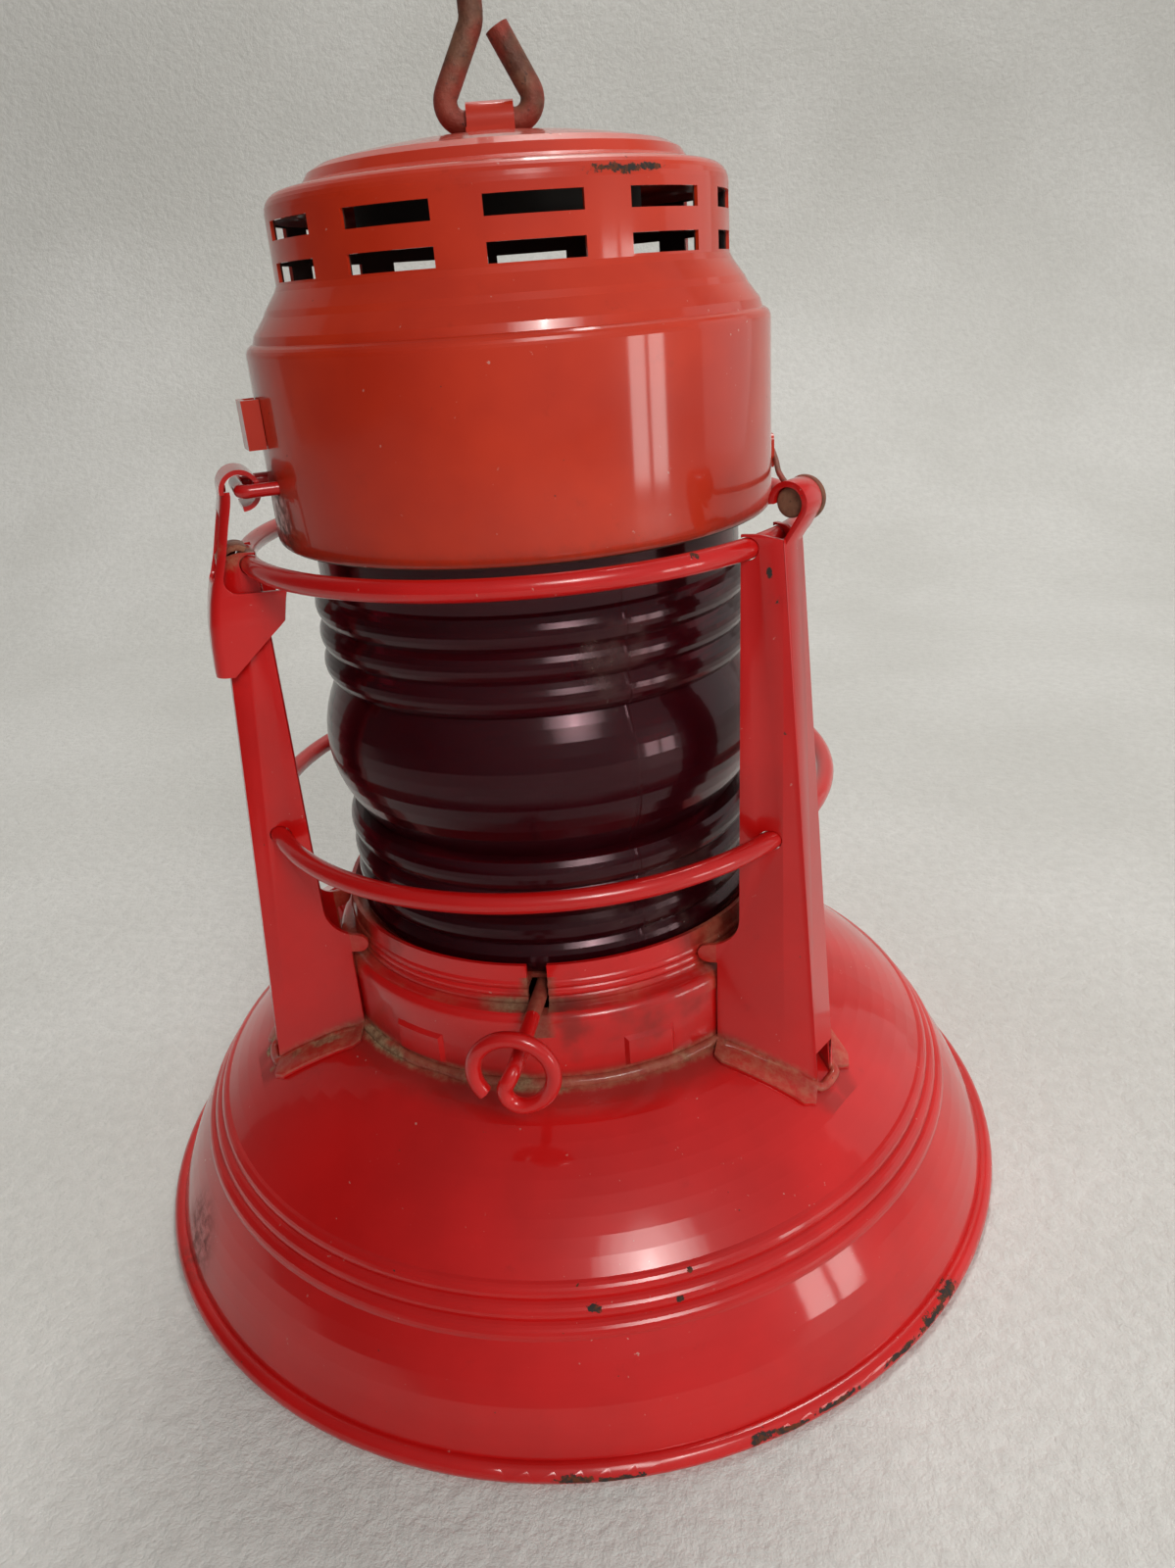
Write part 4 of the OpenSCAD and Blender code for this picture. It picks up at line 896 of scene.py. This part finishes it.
# %% Seams
def uneven(obj, size, strength):
    lumps = bpy.data.textures.new("solder_lumps", "CLOUDS")
    lumps.noise_scale = size
    modify(obj, "DISPLACE", texture=lumps, texture_coords="LOCAL", strength=strength, mid_level=0.5)


def collar_seam():
    obj = begin(bpy.ops.mesh.primitive_torus_add, "collar_seam", major_segments=300, minor_segments=14,
                major_radius=COLLAR_R + 0.2 * MM, minor_radius=1.25 * MM,
                location=(0, 0, dome_top(COLLAR_R) - 0.1 * MM))
    uneven(obj, 0.006, 0.8 * MM)
    return finish_piece(obj, body_paint, "frame", smooth=70)


def foot_path(side):
    """Points of a foot's seam, from the collar along one flange to the post's web, in millimetres."""
    start, end, steps, slope = 52.2, 68.6, 12, 0.445
    along = [start + (end - start) * i / steps for i in range(steps + 1)]
    return [(u, side * (3.4 + slope * (69.4 - u))) for u in along] + [(69.9, side * 2.4)]


def foot_seam(around, name):
    path = foot_path(-1) + foot_path(1)[::-1]
    points = smooth_path([(u, w, dome_top(math.hypot(u, w) * MM) / MM + 0.1) for u, w in path], 4)
    obj = wire_piece(name, points, 2.3)
    uneven(obj, 0.004, 0.6 * MM)
    return finish_piece(obj, body_paint, "frame", around=around, smooth=70)


collar_seam()
for around, which in ((-30, "hinge"), (-150, "latch"), (90, "rear")):
    foot_seam(around, which + "_foot_seam")

# %% [markdown]
# ## Floor and light
# The lantern stands on a plain pale cloth that rises behind it. High in front hangs a round lamp, built
# from seven discs of falling width, so that its highlights fade towards their edge. A low window on the
# right, in two panes, gives the tall pale stripes on the canopy. A lamp above and behind brightens the
# cloth, and a faint curtain the lantern's right edge. The rest is soft light from a pale room.

# %% Stage
def stage_cloth():
    net = Net("pale_cloth")
    pile = net.noise(260, 4, 0.7)
    # large soft patches of painted light and shade stand for the cloth's folds
    fold_shading = net.noise(7, 3, 0.5)
    base = net.mix(fold_shading.ramp(0.3, 0.7), (0.62, 0.615, 0.585), (0.70, 0.695, 0.67))
    base = net.mix(pile.ramp(0.3, 0.7) * 0.35, base, (0.50, 0.49, 0.465))
    shader = net.principled(base_color=base, roughness=0.95, specular_ior_level=0.1,
                            normal=net.bump(pile, 0.5, 0.002))
    return net.surface(shader)


def make_stage():
    bpy.ops.object.select_all(action="DESELECT")
    bpy.ops.mesh.primitive_plane_add(size=1)
    sweep = bpy.context.object
    sweep.name = "backdrop"
    mesh = sweep.data
    to_view = Matrix.Rotation(CAM_ROUND, 3, "Z")
    rim, rise, half = 0.42, 0.30, 1.6
    bend = [math.radians(9 * i) for i in range(1, 11)]
    path = [(-1.4, 0.0), (rim, 0.0)]
    path += [(rim + rise * math.sin(a), rise - rise * math.cos(a)) for a in bend]
    path += [(rim + rise, 1.8)]
    verts = [to_view @ Vector((side * half, along, up)) for along, up in path for side in (-1, 1)]
    faces = [(2 * i, 2 * i + 1, 2 * i + 3, 2 * i + 2) for i in range(len(path) - 1)]
    mesh.clear_geometry()
    mesh.from_pydata([tuple(v) for v in verts], [], faces)
    for face in mesh.polygons:
        face.use_smooth = True
    mesh.materials.append(stage_cloth())


def area_lamp(name, place, aim, wide, high, watts, colour, shape="RECTANGLE"):
    lamp = bpy.data.lights.new(name, "AREA")
    lamp.shape, lamp.size, lamp.size_y = shape, wide, high
    lamp.energy, lamp.color = watts, colour
    obj = bpy.data.objects.new(name, lamp)
    bpy.context.scene.collection.objects.link(obj)
    obj.location = place
    obj.rotation_mode = "QUATERNION"
    obj.rotation_quaternion = (Vector(aim) - Vector(place)).to_track_quat("-Z", "Y")


DISC_WIDTHS = (0.56, 0.47, 0.38, 0.29, 0.20, 0.12, 0.05)
WINDOW_AT = Vector((0.93, -0.37, 0.135)) * 0.9
WINDOW_ACROSS = Vector((0.37, 0.93, 0)) * 0.072

make_stage()
area_lamp("back_lamp", (0.10, 0.55, 1.30), (0, 0.10, 0), 0.40, 0.40, 8.0, (1.0, 0.98, 0.95))
for i, wide in enumerate(DISC_WIDTHS):
    watts = (6.5 * wide ** 2 + 0.20) * 0.80
    area_lamp(f"front_lamp_{i}", (0.45, -0.80 - 0.005 * i, 0.76), (0.02, -0.05, 0.08), wide, wide, watts,
              (1.0, 0.975, 0.94), "DISK")
area_lamp("curtain", (1.00, 0.50, 0.32), (0, 0, 0.08), 0.80, 0.80, 0.9, (1.0, 0.985, 0.96))
for i, side in enumerate((-1, 1)):
    area_lamp(f"window_pane_{i}", WINDOW_AT + WINDOW_ACROSS * side, (0, 0, 0.12), 0.115, 0.20, 0.50,
              (1.0, 0.97, 0.92))

# %% [markdown]
# The room itself is brighter on the window's side. The world is a pale grey that falls off to the left, so
# the lantern's left side goes dark, as it does in daylight from one side.

# %% World
world = bpy.data.worlds.new("pale_room")
bpy.context.scene.world = world
world.use_nodes = True
room = world.node_tree
direction = room.nodes.new("ShaderNodeTexCoord")
side_light = room.nodes.new("ShaderNodeVectorMath")
side_light.operation = "DOT_PRODUCT"
side_light.inputs[1].default_value = (0.88, -0.30, 0.36)
falloff = room.nodes.new("ShaderNodeMapRange")
FROM_LOW, FROM_HIGH, TO_LOW, TO_HIGH = 1, 2, 3, 4
for i, value in ((FROM_LOW, -0.45), (FROM_HIGH, 0.9), (TO_LOW, 0.055), (TO_HIGH, 0.48)):
    falloff.inputs[i].default_value = value
background = room.nodes["Background"]
background.inputs["Color"].default_value = (0.88, 0.885, 0.87, 1)
room.links.new(direction.outputs["Generated"], side_light.inputs[0])
room.links.new(side_light.outputs["Value"], falloff.inputs[0])
room.links.new(falloff.outputs[0], background.inputs["Strength"])
bpy.context.scene.view_settings.view_transform = "Standard"
